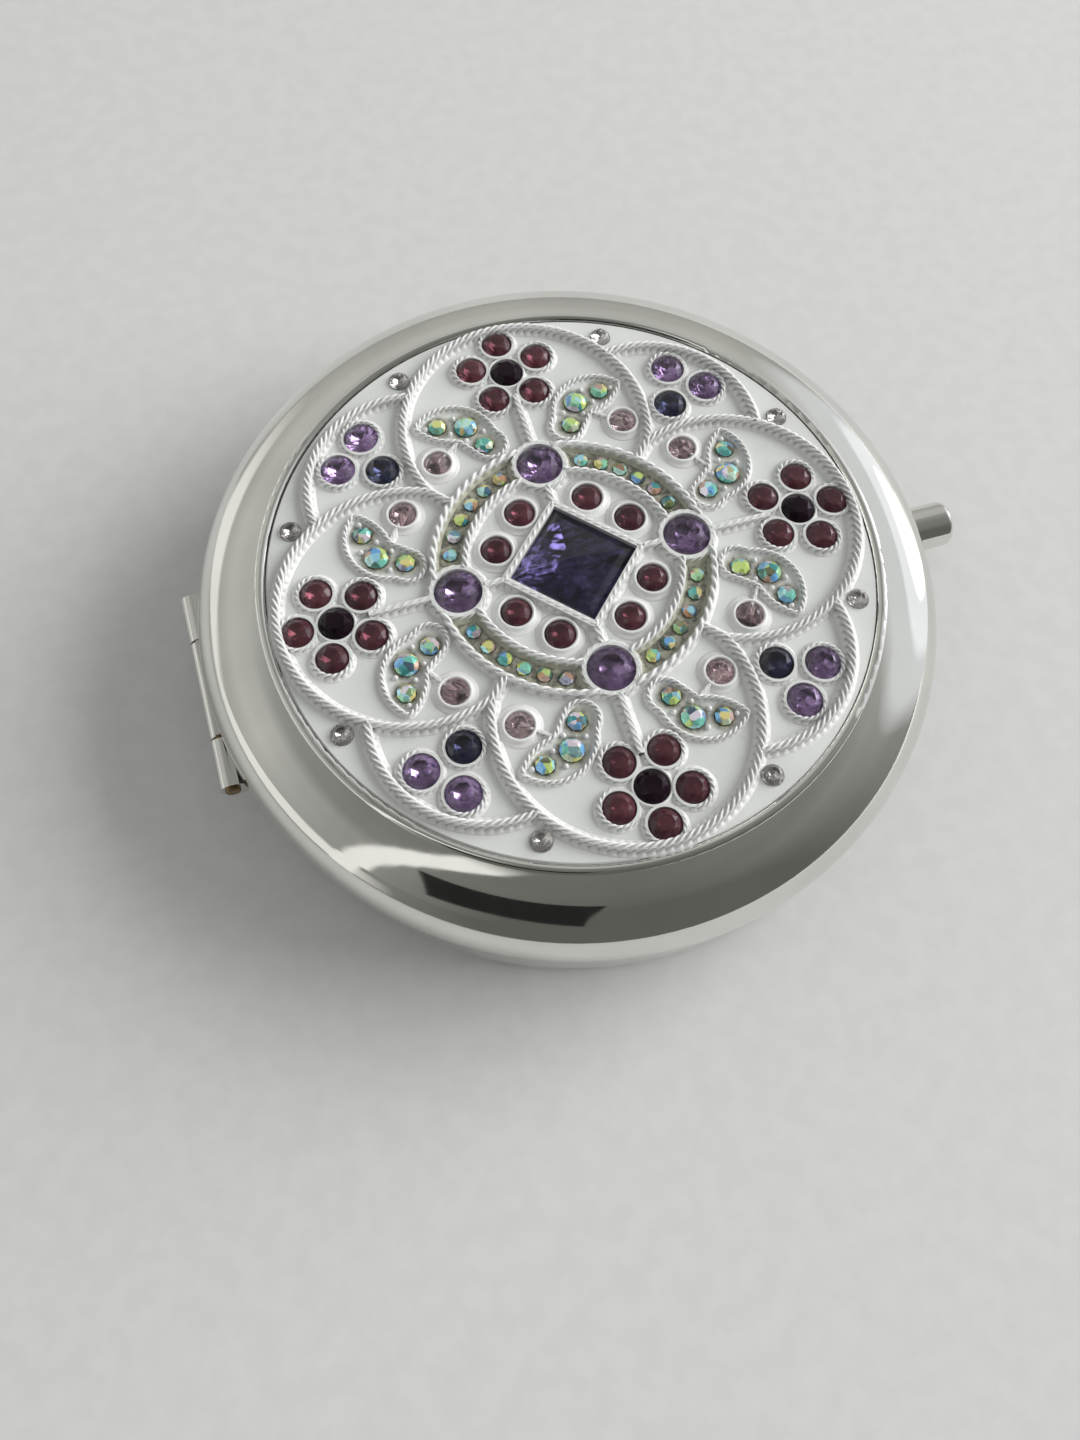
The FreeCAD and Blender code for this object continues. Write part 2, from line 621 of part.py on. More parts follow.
def stone_places():
    """Name, diameter and places of each kind of round stone."""
    kinds = {}
    axes = [90 * k for k in range(4)]
    diagonals = [45 + 90 * k for k in range(4)]
    kinds["flower_centre_stones"] = [(polar(FLOWER_RAD, a), D_FLOWER_CENTRE) for a in axes]
    petals = []
    for a in axes:
        c = polar(FLOWER_RAD, a)
        for k in range(5):
            p = polar(PETAL_RAD, a + 72 * k)
            petals.append(((c[0] + p[0], c[1] + p[1]), D_PETAL))
    kinds["flower_petal_stones"] = petals
    violet_angles = [a + s * TREFOIL_ANGLE for a in diagonals for s in (-1, 1)]
    kinds["trefoil_violet_stones"] = [(polar(TREFOIL_VIOLET_RAD, a), D_TREFOIL_VIOLET) for a in violet_angles]
    kinds["trefoil_dark_stones"] = [(polar(TREFOIL_DARK_RAD, a), D_TREFOIL_DARK) for a in diagonals]
    kinds["ring_amethyst_stones"] = [(polar(RING_STONE_RAD, a), D_RING_STONE) for a in axes]
    kinds["ring_aurora_stones"] = [
        (polar(RING_AURORA_RAD, a + b), D_RING_AURORA) for a in diagonals for b in RING_AURORA_ANGLES]
    kinds["garnet_stones"] = [
        (polar(GARNET_RAD, a + s * GARNET_ANGLE), D_GARNET) for a in diagonals for s in (-1, 1)]
    kinds["leaf_aurora_stones"] = [(place[0], s[2]) for s in LEAF_STONES for place in eightfold(s[:2])]
    kinds["bud_rose_stones"] = [(place[0], D_BUD) for place in eightfold(BUD_POS)]
    kinds["border_clear_stones"] = [
        (polar(BORDER_RAD, a + s * BORDER_ANGLE), D_BORDER) for a in axes for s in (-1, 1)]
    return kinds


COLLARED = (
    "flower_petal_stones",
    "trefoil_violet_stones",
    "trefoil_dark_stones",
    "garnet_stones",
    "bud_rose_stones",
)


def rope_strips():
    """Main rope borders as flat strips."""
    strips = [ring_band(0, 0, RING_OUT_R, ROPE_W), ring_band(0, 0, RING_IN_R, ROPE_W)]
    for k in range(4):
        a = 90 * k
        cell = polar(CELL_RAD, a)
        nxt = polar(CELL_RAD, a + 90)
        prev = polar(CELL_RAD, a - 90)
        lobe = polar(LOBE_RAD, a + 45)
        knot = crossing(cell, CELL_R, nxt, CELL_R, -1)
        knot_prev = crossing(cell, CELL_R, prev, CELL_R, 1)
        if math.hypot(*knot) < RING_OUT_R:
            knot = crossing(cell, CELL_R, nxt, CELL_R, 1)
            knot_prev = crossing(cell, CELL_R, prev, CELL_R, -1)
        half = (angle_from(cell, knot) - a) % 360
        strips.append(arc_band(cell[0], cell[1], CELL_R, a - half, a + half, ROPE_W))
        strips.append(bar(polar(RING_OUT_R, a + 45), polar(math.hypot(*knot) + 0.3, a + 45), ROPE_W))
        ends = [crossing(lobe, LOBE_R, cell, CELL_R, s) for s in (-1, 1)]
        far = max(ends, key=lambda p: math.hypot(*p))
        spread = abs((angle_from(lobe, far) - (a + 45) + 180) % 360 - 180)
        strips.append(arc_band(lobe[0], lobe[1], LOBE_R, a + 45 - spread, a + 45 + spread, ROPE_W))
        stem_out = FLOWER_RAD - PETAL_RAD * math.cos(rad(36)) - 0.2
        strips.append(bar(polar(RING_STONE_RAD + D_RING_STONE / 2, a), polar(stem_out, a), ROPE_W))
        corner = SQUARE_SIDE / math.sqrt(2)
        strips.append(bar(polar(corner - 0.4, a), polar(RING_STONE_RAD - D_RING_STONE / 2, a), ROPE_W))
        strips.append(disc(*polar(RING_STONE_RAD, a), D_RING_STONE / 2 + RING_COLLAR_W))
        side = SQUARE_SIDE / 2 + FRAME_W / 2
        reach = SQUARE_SIDE / 2 + FRAME_W
        strips.append(bar(turn((-reach, side), 45 + a), turn((reach, side), 45 + a), FRAME_W))
    return strips


def fine_strips(kinds):
    """Collars, leaf borders and bud stems as flat strips."""
    strips = []
    for name in COLLARED:
        for p, d in kinds[name]:
            strips.append(disc(p[0], p[1], d / 2.0 + FINE_W))
    outline = (
        (LEAF_TIP, LEAF_BACK, LEAF_SHOULDER),
        (LEAF_SHOULDER, LEAF_END, LEAF_HEEL),
        (LEAF_HEEL, LEAF_WAIST, LEAF_NOTCH),
        (LEAF_NOTCH, LEAF_FRONT, LEAF_TIP),
    )
    for k in range(4):
        for m in (1, -1):
            def put(p):
                return turn((m * p[0], p[1]), 90 * k)
            for p, via, q in outline:
                strips.append(three_point_band(put(p), put(via), put(q), FINE_W))
            strips.append(bar(put(LEAF_NOTCH), put(BUD_POS), FINE_W))
            for p in (LEAF_TIP, LEAF_SHOULDER, LEAF_HEEL, LEAF_NOTCH):
                strips.append(disc(*put(p), FINE_W / 2.0))
    return strips


def make_plaque(kinds):
    base_z = RECESS_Z + ADHESIVE_T
    steps = [
        [(PLAQUE_R, base_z)],
        [(PLAQUE_R, ENAMEL_Z - PLAQUE_EDGE)],
        [(PLAQUE_R - PLAQUE_EDGE, ENAMEL_Z)],
        [(0, ENAMEL_Z)],
    ]
    plaque = turned((0, base_z), steps)
    ropes = raised(merged(rope_strips()), ROPE_H)
    fine = raised(merged(fine_strips(kinds)), FINE_H)
    for part in (ropes, fine):
        part.translate(Vector(0, 0, ENAMEL_Z))
    plaque = plaque.fuse([ropes, fine]).removeSplitter()
    seats = []
    for places in kinds.values():
        for p, d in places:
            depth = d * PAVILION_RATIO - GIRDLE_RISE + GIRDLE_H + SEAT_GAP
            bottom = Vector(p[0], p[1], ENAMEL_Z - depth)
            seats.append(Part.makeCylinder(d / 2.0 + SEAT_GAP, depth + SEAT_REACH, bottom))
    half = SQUARE_SIDE / 2 + SEAT_GAP
    deep = SQUARE_PAVILION - GIRDLE_RISE + GIRDLE_H + SEAT_GAP
    square = box(-half, half, -half, half, ENAMEL_Z - deep, ENAMEL_Z + SEAT_REACH)
    square.rotate(Vector(0, 0, 0), Vector(0, 0, 1), 45)
    seats.append(square)
    return plaque.cut(Part.makeCompound(seats))


def faceted(faces):
    shell = Part.makeShell([Part.Face(Part.makePolygon(f + f[:1])) for f in faces])
    shell.sewShape()
    solid = Part.makeSolid(shell)
    if solid.Volume < 0:
        solid.reverse()
    return solid


def ring_of(n, r, z, start):
    angles = [start + 2 * math.pi * k / n for k in range(n)]
    return [Vector(r * math.cos(a), r * math.sin(a), z) for a in angles]


def brilliant(d):
    """Round stone: table, star, main and girdle facets above and sixteen facets below, girdle at z = 0."""
    r = d / 2.0
    top = d * CROWN_RATIO
    table_r = r * TABLE_RATIO
    mid_r = r * 0.8
    step = math.pi / 8
    mid_z = top * (r - mid_r * math.cos(step)) / (r - table_r)
    t = ring_of(8, table_r, top, 0)
    m = ring_of(8, mid_r, mid_z, step)
    g = ring_of(16, r, 0, 0)
    h = ring_of(16, r, -GIRDLE_H, 0)
    c = ring_of(16, r * CULET_RATIO, -d * PAVILION_RATIO - GIRDLE_H, 0)
    faces = [t, c[::-1]]
    for k in range(8):
        n = (k + 1) % 8
        faces.append([t[k], m[k], t[n]])
        faces.append([t[k], m[k - 1], g[2 * k], m[k]])
        faces.append([m[k], g[2 * k], g[2 * k + 1]])
        faces.append([m[k], g[2 * k + 1], g[(2 * k + 2) % 16]])
    for k in range(16):
        n = (k + 1) % 16
        faces.append([g[k], h[k], h[n], g[n]])
        faces.append([h[k], c[k], c[n], h[n]])
    return faceted(faces)


def eight_cut(d):
    """Small round stone with a table and eight facets above and below, girdle at z = 0."""
    r = d / 2.0
    t = ring_of(8, r * TABLE_RATIO, d * CROWN_RATIO, 0)
    g = ring_of(8, r, 0, 0)
    h = ring_of(8, r, -GIRDLE_H, 0)
    c = ring_of(8, r * CULET_RATIO, -d * PAVILION_RATIO - GIRDLE_H, 0)
    faces = [t, c[::-1]]
    for k in range(8):
        n = (k + 1) % 8
        faces.append([t[k], g[k], g[n], t[n]])
        faces.append([g[k], h[k], h[n], g[n]])
        faces.append([h[k], c[k], c[n], h[n]])
    return faceted(faces)


def make_centre_stone():
    """Square stone with a low pyramid above a bevelled border and a shallow back, corners on the axes."""
    half = SQUARE_SIDE / 2.0
    step_r = half * 0.78
    r2 = math.sqrt(2)
    apex = Vector(0, 0, SQUARE_CROWN)
    s = ring_of(4, step_r * r2, SQUARE_CROWN * 0.5, 0)
    g = ring_of(4, half * r2, 0, 0)
    h = ring_of(4, half * r2, -GIRDLE_H, 0)
    c = ring_of(4, half * r2 * 0.3, -SQUARE_PAVILION - GIRDLE_H, 0)
    faces = [c[::-1]]
    for k in range(4):
        n = (k + 1) % 4
        faces.append([apex, s[k], s[n]])
        faces.append([s[k], g[k], g[n], s[n]])
        faces.append([g[k], h[k], h[n], g[n]])
        faces.append([h[k], c[k], c[n], h[n]])
    stone = faceted(faces)
    stone.translate(Vector(0, 0, ENAMEL_Z + GIRDLE_RISE))
    return stone


def make_stones(places):
    """One solid for each place, turned a little differently from its neighbours."""
    cuts = {}
    group = []
    for k, (p, d) in enumerate(places):
        if d not in cuts:
            cuts[d] = eight_cut(d) if d < 2.0 else brilliant(d)
        stone = cuts[d].copy()
        stone.rotate(Vector(0, 0, 0), Vector(0, 0, 1), (k * 137.5) % 360)
        stone.translate(Vector(p[0], p[1], ENAMEL_Z + GIRDLE_RISE))
        group.append(stone)
    return Part.makeCompound(group)


kinds = stone_places()
flange_low = PARTING_Z - FLANGE_SET - WELL_D
flange_high = PARTING_Z + FLANGE_SET + WELL_D - TAPE_T
nodes = {
    "base_shell": make_base_shell(),
    "base_tray": make_base_tray(),
    "base_mirror": make_base_mirror(),
    "base_mirror_tape": Part.makeCylinder(TAPE_R, TAPE_T, Vector(0, 0, flange_low)),
    "base_hinge_leaf": make_base_hinge_leaf(),
    "hinge_pin": make_hinge_pin(),
    "latch_guide": make_latch_guide(),
    "latch_spring": make_latch_spring(),
    "push_button": make_push_button(),
    "latch_slide": make_latch_slide(),
    "lid_shell": make_lid_shell(),
    "lid_tray": make_lid_tray(),
    "lid_mirror": make_lid_mirror(),
    "lid_mirror_tape": Part.makeCylinder(TAPE_R, TAPE_T, Vector(0, 0, flange_high)),
    "lid_hinge_leaf": make_lid_hinge_leaf(),
    "lid_catch": make_lid_catch(),
    "plaque": make_plaque(kinds),
    "plaque_adhesive": Part.makeCylinder(ADHESIVE_R, ADHESIVE_T, Vector(0, 0, RECESS_Z)),
    "centre_stone": make_centre_stone(),
}
for name, places in kinds.items():
    nodes[name] = make_stones(places)

os.makedirs("parts", exist_ok=True)
for name, shape in nodes.items():
    good = shape.isValid() and all(s.Volume > 0 for s in shape.Solids)
    print(name, "solids", len(shape.Solids), "valid", good, "volume", round(shape.Volume, 2))
    shape.exportStep("parts/" + name + ".step")
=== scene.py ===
"""Looks of a round compact mirror with a jewelled enamel plaque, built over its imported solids."""

import math

import bpy
import numpy as np
from bpy.props import FloatProperty, FloatVectorProperty, PointerProperty
from bpy.types import Operator, Panel, PropertyGroup
from mathutils import Matrix, Vector


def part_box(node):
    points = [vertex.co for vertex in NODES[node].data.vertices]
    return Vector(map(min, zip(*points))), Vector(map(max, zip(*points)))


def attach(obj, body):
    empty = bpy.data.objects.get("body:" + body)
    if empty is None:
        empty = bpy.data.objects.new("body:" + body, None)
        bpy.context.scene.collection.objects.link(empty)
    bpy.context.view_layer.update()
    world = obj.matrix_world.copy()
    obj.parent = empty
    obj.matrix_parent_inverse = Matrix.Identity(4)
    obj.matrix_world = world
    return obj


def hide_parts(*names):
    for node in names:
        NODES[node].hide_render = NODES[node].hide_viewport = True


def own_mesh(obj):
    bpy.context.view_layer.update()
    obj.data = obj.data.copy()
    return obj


bl_info = {
    "name": "Jewelled compact mirror",
    "version": (1, 0, 0),
    "blender": (4, 5, 0),
    "location": "View3D > Sidebar > Compact",
    "description": "Twisted borders, stone collars and finishes of a round compact mirror",
    "category": "Object",
}

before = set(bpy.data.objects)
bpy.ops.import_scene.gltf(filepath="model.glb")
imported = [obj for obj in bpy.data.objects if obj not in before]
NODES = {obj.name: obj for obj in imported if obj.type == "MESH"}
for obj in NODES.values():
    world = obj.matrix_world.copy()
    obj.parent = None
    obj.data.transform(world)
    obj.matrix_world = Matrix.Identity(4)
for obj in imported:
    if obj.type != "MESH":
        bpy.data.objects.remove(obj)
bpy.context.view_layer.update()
MM = 0.001

# Rosette, millimetres from its centre, as in the solids
RIB_H = 0.75
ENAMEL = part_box("plaque")[1].z / MM - RIB_H
FLOWER_RAD, PETAL_RAD = 24.0, 3.75
CELL_RAD, CELL_R = 16.8, 12.75
LOBE_RAD, LOBE_R = 18.1, 10.9
RING_OUT_R, RING_IN_R = 13.95, 10.75
RING_STONE_RAD, RING_STONE_R = 11.85, 2.375
GARNET_RAD, GARNET_ANGLE, GARNET_R = 7.85, 18.0, 1.55
TREFOIL_DARK_RAD, TREFOIL_DARK_R = 22.0, 1.7
TREFOIL_VIOLET_RAD, TREFOIL_ANGLE, TREFOIL_VIOLET_R = 26.05, 4.9, 1.75
PETAL_R, FLOWER_CENTRE_R = 1.6, 1.7
BUD_POS, BUD_R = (10.0, 14.9), 1.375
LEAF_STONES = ((8.85, 19.3, 0.95), (6.0, 18.55, 1.2), (4.7, 15.95, 0.975))
LEAF_TIP, LEAF_BACK, LEAF_SHOULDER, LEAF_END = (11.2, 19.6), (7.9, 21.25), (3.2, 17.2), (4.4, 14.1)
LEAF_HEEL, LEAF_WAIST, LEAF_NOTCH, LEAF_FRONT = (5.75, 15.1), (6.4, 15.9), (7.15, 16.9), (9.3, 17.65)
LEAF_BEADS = ((7.0, 19.9), (7.75, 18.15), (4.35, 17.6), (6.35, 16.95), (10.1, 19.35))
SQUARE_HALF, FRAME_W = 4.65, 0.7
TREFOIL_MIDDLE = 24.7
AXES = (0, 90, 180, 270)
GIRDLE_LOW = ENAMEL + 0.12
CHANNEL_RAD = 12.35
PETALS = 5
# Section of a raised border: the angles of its crest and their number, the steps of a fillet with the
# powers by which it runs out and down, the power by which grooves fade on it, and the depth of its foot
CREST_FROM, CREST_TO, CREST_POINTS = -12, 192, 13
FILLET_STEPS = (0.2, 0.45, 0.72, 1.0)
FILLET_OUT, FILLET_DOWN, GROOVE_FADE, FOOT_SUNK = 1.7, 1.4, 0.6, 0.08
# Main borders: depth of the twist, and how the ropes of the ring, the collars of its stones and the
# straight stems differ from a full rope
ROPE_TWIST, RING_TWIST, RING_SLIM, RING_STEEP = 0.7, 0.8, 0.84, 0.74
RING_COLLAR_GAP, RING_COLLAR_SLIM, RING_COLLAR_LOW, RING_COLLAR_TWIST = 0.3, 0.72, 0.8, 0.7
RING_COLLAR_FOOT, SPOKE_THIN, STEM_THIN, SPOKE_LAP, STEM_LAP = 0.7, 0.9, 0.85, 0.3, 0.2
# Small borders: heights, feet and twist
COLLAR_H, COLLAR_FOOT, FINE_TWIST, COLLAR_MEAN, COLLAR_LEAN = 0.52, 0.5, 0.75, 0.95, 0.25
CUP_H, CUP_FOOT = 0.5, 0.75
CENTRE_CUP_R, CENTRE_CUP_GAP, CENTRE_CUP_H, CENTRE_CUP_FOOT = 0.14, 0.16, 0.36, 0.4
FRAME_CREST, FRAME_REACH = FRAME_W * 0.46, SQUARE_HALF + FRAME_W * 0.9
FRAME_H, FRAME_FOOT, FRAME_TWIST = 0.85, 0.7, 0.6
LEAF_THICK, LEAF_H, LEAF_FOOT, BUD_STEM_H, BUD_STEM_TWIST = 1.1, 0.6, 0.4, 0.46, 0.3
BEAD_R, BEAD_H, BEAD_RINGS, BEAD_SIDES = 0.3, 0.42, (-20, 10, 40, 65, 88), 10
# Distance between the points of a path: ropes, twisted collars, leaves and plain collars
ROPE_STEP, COLLAR_STEP, LEAF_STEP, CUP_STEP = 0.07, 0.075, 0.06, 0.15
# Spring of the push-button
SPRING_WIRE, SPRING_TURNS = 0.15, 5


class CompactSizes(PropertyGroup):
    """Sizes of the dressed pieces."""

    rope_d: FloatProperty(name="Border rope", description="Thickness of the twisted crest of a main border",
                          default=0.92 * MM, unit="LENGTH", precision=5)
    rope_height: FloatProperty(name="Rope height", description="Top of a main border above the enamel",
                               default=1.0 * MM, unit="LENGTH", precision=5)
    rope_foot: FloatProperty(name="Rope foot", description="Reach of the fillet at each side of a main border",
                             default=0.85 * MM, unit="LENGTH", precision=5)
    rope_pitch: FloatProperty(name="Rope ridges", description="Distance between two ridges of a cell or lobe border",
                              default=0.85 * MM, unit="LENGTH", precision=5)
    ring_pitch: FloatProperty(name="Ring ridges", description="Distance between two ridges of the outer ring",
                              default=1.22 * MM, unit="LENGTH", precision=5)
    inner_pitch: FloatProperty(name="Inner ring ridges", description="Distance between two ridges of the inner ring",
                               default=0.94 * MM, unit="LENGTH", precision=5)
    collar_d: FloatProperty(name="Twisted collar", description="Thickness of the collars of petals and trefoils",
                            default=0.44 * MM, unit="LENGTH", precision=5)
    collar_pitch: FloatProperty(name="Collar ridges", description="Distance between two ridges of a collar",
                                default=0.66 * MM, unit="LENGTH", precision=5)
    cup_d: FloatProperty(name="Plain collar", description="Thickness of the smooth collars of garnets and buds",
                         default=0.36 * MM, unit="LENGTH", precision=5)


class CompactColours(PropertyGroup):
    """Colours of the finishes."""

    metal: FloatVectorProperty(name="Case metal", description="Polished plate of the case", subtype="COLOR",
                               default=(0.80, 0.795, 0.76), min=0, max=1)
    enamel: FloatVectorProperty(name="Enamel", description="Ground of the plaque", subtype="COLOR",
                                default=(0.65, 0.665, 0.64), min=0, max=1)
    border: FloatVectorProperty(name="Raised enamel", description="Ropes and collars", subtype="COLOR",
                                default=(0.72, 0.725, 0.71), min=0, max=1)
    bed: FloatVectorProperty(name="Stone beds", description="Bare ground between the small stones", subtype="COLOR",
                             default=(0.26, 0.255, 0.20), min=0, max=1)
    petal: FloatVectorProperty(name="Petal stones", description="Plum stones of the flowers", subtype="COLOR",
                               default=(0.175, 0.055, 0.072), min=0, max=1)
    violet: FloatVectorProperty(name="Violet stones", description="Amethyst coloured stones", subtype="COLOR",
                                default=(0.47, 0.32, 0.61), min=0, max=1)
    square: FloatVectorProperty(name="Centre stone", description="Square stone in the middle", subtype="COLOR",
                                default=(0.085, 0.072, 0.19), min=0, max=1)


class StageSettings(PropertyGroup):
    """Light and table."""

    floor: FloatVectorProperty(name="Table", description="Colour of the table top", subtype="COLOR",
                               default=(0.60, 0.60, 0.59), min=0, max=1)
    key_power: FloatProperty(name="Window lamp", description="Power of the large soft lamp", default=54.0, unit="POWER")
    ambient: FloatProperty(name="Room light", description="Level of the light from all round", default=0.47)


# Shapes

def polar(r, deg):
    """The point at distance r from the centre of the rosette, in a direction in degrees."""
    return np.array([r * math.cos(math.radians(deg)), r * math.sin(math.radians(deg))])


def arc(centre, r, a0, a1, step=ROPE_STEP):
    """Points on a circle from angle a0 to a1 in degrees, evenly spaced by about step."""
    n = max(8, int(abs(math.radians(a1 - a0)) * r / step))
    a = np.radians(np.linspace(a0, a1, n + 1))
    return np.stack([centre[0] + r * np.cos(a), centre[1] + r * np.sin(a)], -1)


def ring(centre, r, start=0.0, step=ROPE_STEP):
    """A whole circle of points, without its last point."""
    return arc(centre, r, start, start + 360, step)[:-1]


def straight(p, q, step=ROPE_STEP):
    """Points on the line from p to q, evenly spaced by about step."""
    p, q = np.asarray(p, float), np.asarray(q, float)
    n = max(4, int(np.linalg.norm(q - p) / step))
    return p + (q - p) * np.linspace(0, 1, n + 1)[:, None]


def arc_through(p, via, q, step):
    """The arc from p to q through via: the centre lies where the two perpendicular bisectors cross."""
    p, via, q = (np.asarray(k, float) for k in (p, via, q))
    rows = np.array([via - p, q - p]) * 2
    centre = np.linalg.solve(rows, np.array([via @ via - p @ p, q @ q - p @ p]))
    a0, am, a1 = (math.degrees(math.atan2(*(k - centre)[::-1])) for k in (p, via, q))
    span = (a1 - a0) % 360
    if (am - a0) % 360 > span:
        span -= 360
    return arc(centre, np.linalg.norm(p - centre), a0, a0 + span, step)


def turned(points, deg, mirrored=False):
    """Points turned about the centre of the rosette, after a mirror in the Y axis if asked."""
    c, s = math.cos(math.radians(deg)), math.sin(math.radians(deg))
    p = points * np.array([-1.0 if mirrored else 1.0, 1.0])
    return p @ np.array([[c, s], [-s, c]])


def crossing(c0, r0, c1, r1):
    """The crossing point of two circles that lies further from the centre of the rosette: from the point
    where their chord meets the line of centres, half the chord to one side."""
    d = c1 - c0
    length = np.linalg.norm(d)
    a = (r0 * r0 - r1 * r1 + length * length) / (2 * length)
    h = math.sqrt(r0 * r0 - a * a)
    foot = c0 + a * d / length
    side = h * np.array([-d[1], d[0]]) / length
    return max((foot + side, foot - side), key=np.linalg.norm)


def eased(points, reach=7):
    """A closed path whose corners are rounded by a running mean over its neighbours."""
    return np.mean([np.roll(points, k, 0) for k in range(-reach, reach + 1)], 0)


def dome(centre, r, height):
    """A small round bead on the enamel: rings of a half ellipsoid, closed by a narrow tip and a sunk foot."""
    t = np.radians(np.array(BEAD_RINGS))
    a = np.linspace(0, 2 * np.pi, BEAD_SIDES, endpoint=False)
    flat = centre + (r * np.cos(t))[:, None, None] * np.stack([np.cos(a), np.sin(a)], -1)[None]
    z = np.broadcast_to((ENAMEL + height * np.sin(t))[:, None, None], flat.shape[:2] + (1,))
    return np.concatenate([flat, z], -1), False


def bearing(centre, p):
    """Direction in degrees from a centre to a point."""
    return math.degrees(math.atan2(p[1] - centre[1], p[0] - centre[0]))


def ridge(points, closed, crest, height, feet, pitch=0.0, depth=0.0, strands=4, swell=1.0):
    """A raised border along a flat path: a round crest of radius crest that stands height above the
    enamel and runs down through hollow fillets to feet, the distances left and right of the path.
    With a pitch the crest is twisted: at length s and angle t round the crest it is drawn in by
    depth (1 - |cos(strands t / 2 + pi s / pitch)|) of its radius. Below the crest the fillets are
    drawn sideways by the same wave, less and less towards the feet. The fourth value of a point is
    how deep in a groove of the twist it lies, from 0 to 1."""
    ahead = np.roll(points, -1, 0) if closed else np.vstack([points[1:], 2 * points[-1] - points[-2]])
    behind = np.roll(points, 1, 0) if closed else np.vstack([2 * points[0] - points[1], points[:-1]])
    along = ahead - behind
    along /= np.linalg.norm(along, axis=1)[:, None]
    side = np.stack([-along[:, 1], along[:, 0]], -1)
    gaps = np.linalg.norm(ahead - points, axis=1)
    s = np.concatenate([[0], np.cumsum(gaps)[:-1]])
    total = gaps.sum() if closed else s[-1]
    middle = height - crest
    t = np.radians(np.linspace(CREST_FROM, CREST_TO, CREST_POINTS))
    fall = np.array(FILLET_STEPS)
    edge_x, edge_z = crest * np.cos(t[0]), middle + crest * np.sin(t[0])
    left = edge_x + (feet[0] - edge_x) * fall ** FILLET_OUT
    right = edge_x + (feet[1] - edge_x) * fall ** FILLET_OUT
    down = edge_z * (1 - fall) ** FILLET_DOWN
    x = np.concatenate([[left[-1]], left[::-1], crest * np.cos(t), -right, [-right[-1]]])
    z = np.concatenate([[-FOOT_SUNK], down[::-1], middle + crest * np.sin(t), down, [-FOOT_SUNK]])
    fade = (1 - fall) ** GROOVE_FADE
    hold = np.concatenate([[0], fade[::-1], np.ones(len(t)), fade, [0]])
    turn = np.arctan2(z - middle, x)
    fillet = np.abs(x) > edge_x
    out_x, out_z = np.where(fillet, np.sign(x), np.cos(turn)), np.where(fillet, 0, np.sin(turn))
    groove = np.zeros((len(points), len(x)))
    if pitch:
        count = max(1, round(total / pitch))
        wave = np.abs(np.cos(strands * turn[None, :] / 2 + np.pi * count * s[:, None] / total))
        groove = (1 - wave) * hold
    drawn = depth * crest * groove
    grow = np.broadcast_to(np.asarray(swell, float), (len(points),))[:, None]
    across = grow * (x - drawn * out_x)
    rise = ENAMEL + np.where(z > 0, grow, 1) * (z - drawn * out_z)
    flat = points[:, None, :] + across[:, :, None] * side[:, None, :]
    return np.concatenate([flat, rise[:, :, None], groove[:, :, None]], -1), closed


def coil(low, high, wire, turns, steps=40, around=10):
    """A wire of radius wire wound round a line along X that fills a box: at angle a the wire's middle is
    at x rising with a, y = r sin a and z = r cos a, and the ring round it spans the outward direction
    and the one square to it and to the wire's run."""
    r = (high.y - low.y) / 2 / MM - wire
    start, end = low.x / MM + wire, high.x / MM - wire
    a = np.linspace(0, 2 * np.pi * turns, turns * steps + 1)
    out = np.stack([np.zeros_like(a), np.sin(a), np.cos(a)], -1)
    middle = r * out + np.array([0, 0, (low.z + high.z) / 2 / MM])
    middle[:, 0] = np.linspace(start, end, len(a))
    run = np.stack([np.full_like(a, (end - start) / a[-1]), r * np.cos(a), -r * np.sin(a)], -1)
    across = np.cross(run, out)
    across /= np.linalg.norm(across, axis=1)[:, None]
    v = np.linspace(0, 2 * np.pi, around, endpoint=False)[None, :, None]
    return middle[:, None] + wire * (np.cos(v) * out[:, None] + np.sin(v) * across[:, None]), False


def skin(grids):
    """Vertices, groove depths and faces of closed tubes, each given as a grid of sections by points: a quad
    between each two neighbours of two sections, and a flat face over each open end."""
    verts, grooves, faces, base = [], [], [], 0
    for grid, closed in grids:
        n, m = grid.shape[:2]
        index = base + np.arange(n * m).reshape(n, m)
        rows = index if closed else index[:-1]
        nxt = np.roll(index, -1, 0) if closed else index[1:]
        quads = np.stack([rows, np.roll(rows, -1, 1), np.roll(nxt, -1, 1), nxt], -1).reshape(-1, 4)
        faces += quads.tolist()
        if not closed:
            faces += [index[0][::-1].tolist(), index[-1].tolist()]
        verts.append(grid[:, :, :3].reshape(-1, 3))
        grooves.append(grid[:, :, 3:].sum(-1).ravel())
        base += n * m
    return np.vstack(verts) * MM, np.concatenate(grooves), faces


def piece(name, grids, material, body="lid"):
    """A finished mesh object that rides on a body, with its groove depths as an attribute."""
    verts, grooves, faces = skin(grids)
    mesh = bpy.data.meshes.new(name)
    mesh.from_pydata(verts, [], faces)
    mesh.shade_smooth()
    mesh.attributes.new("groove", "FLOAT", "POINT").data.foreach_set("value", grooves)
    mesh.materials.append(material)
    obj = bpy.data.objects.new(name, mesh)
    bpy.context.scene.collection.objects.link(obj)
    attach(obj, body)
    return obj


# Finishes

# Where most values of a noise lie
NOISE_LOW, NOISE_HIGH = 0.3, 0.7
# Bare ground: round the leaf stones, across the ring channel and up from the enamel
LEAF_BARE, CHANNEL_BARE = (0.1 * MM, 0.75 * MM), (1.15 * MM, 1.35 * MM)
GROUND_BARE = ((ENAMEL + 0.02) * MM, (ENAMEL + 0.1) * MM)
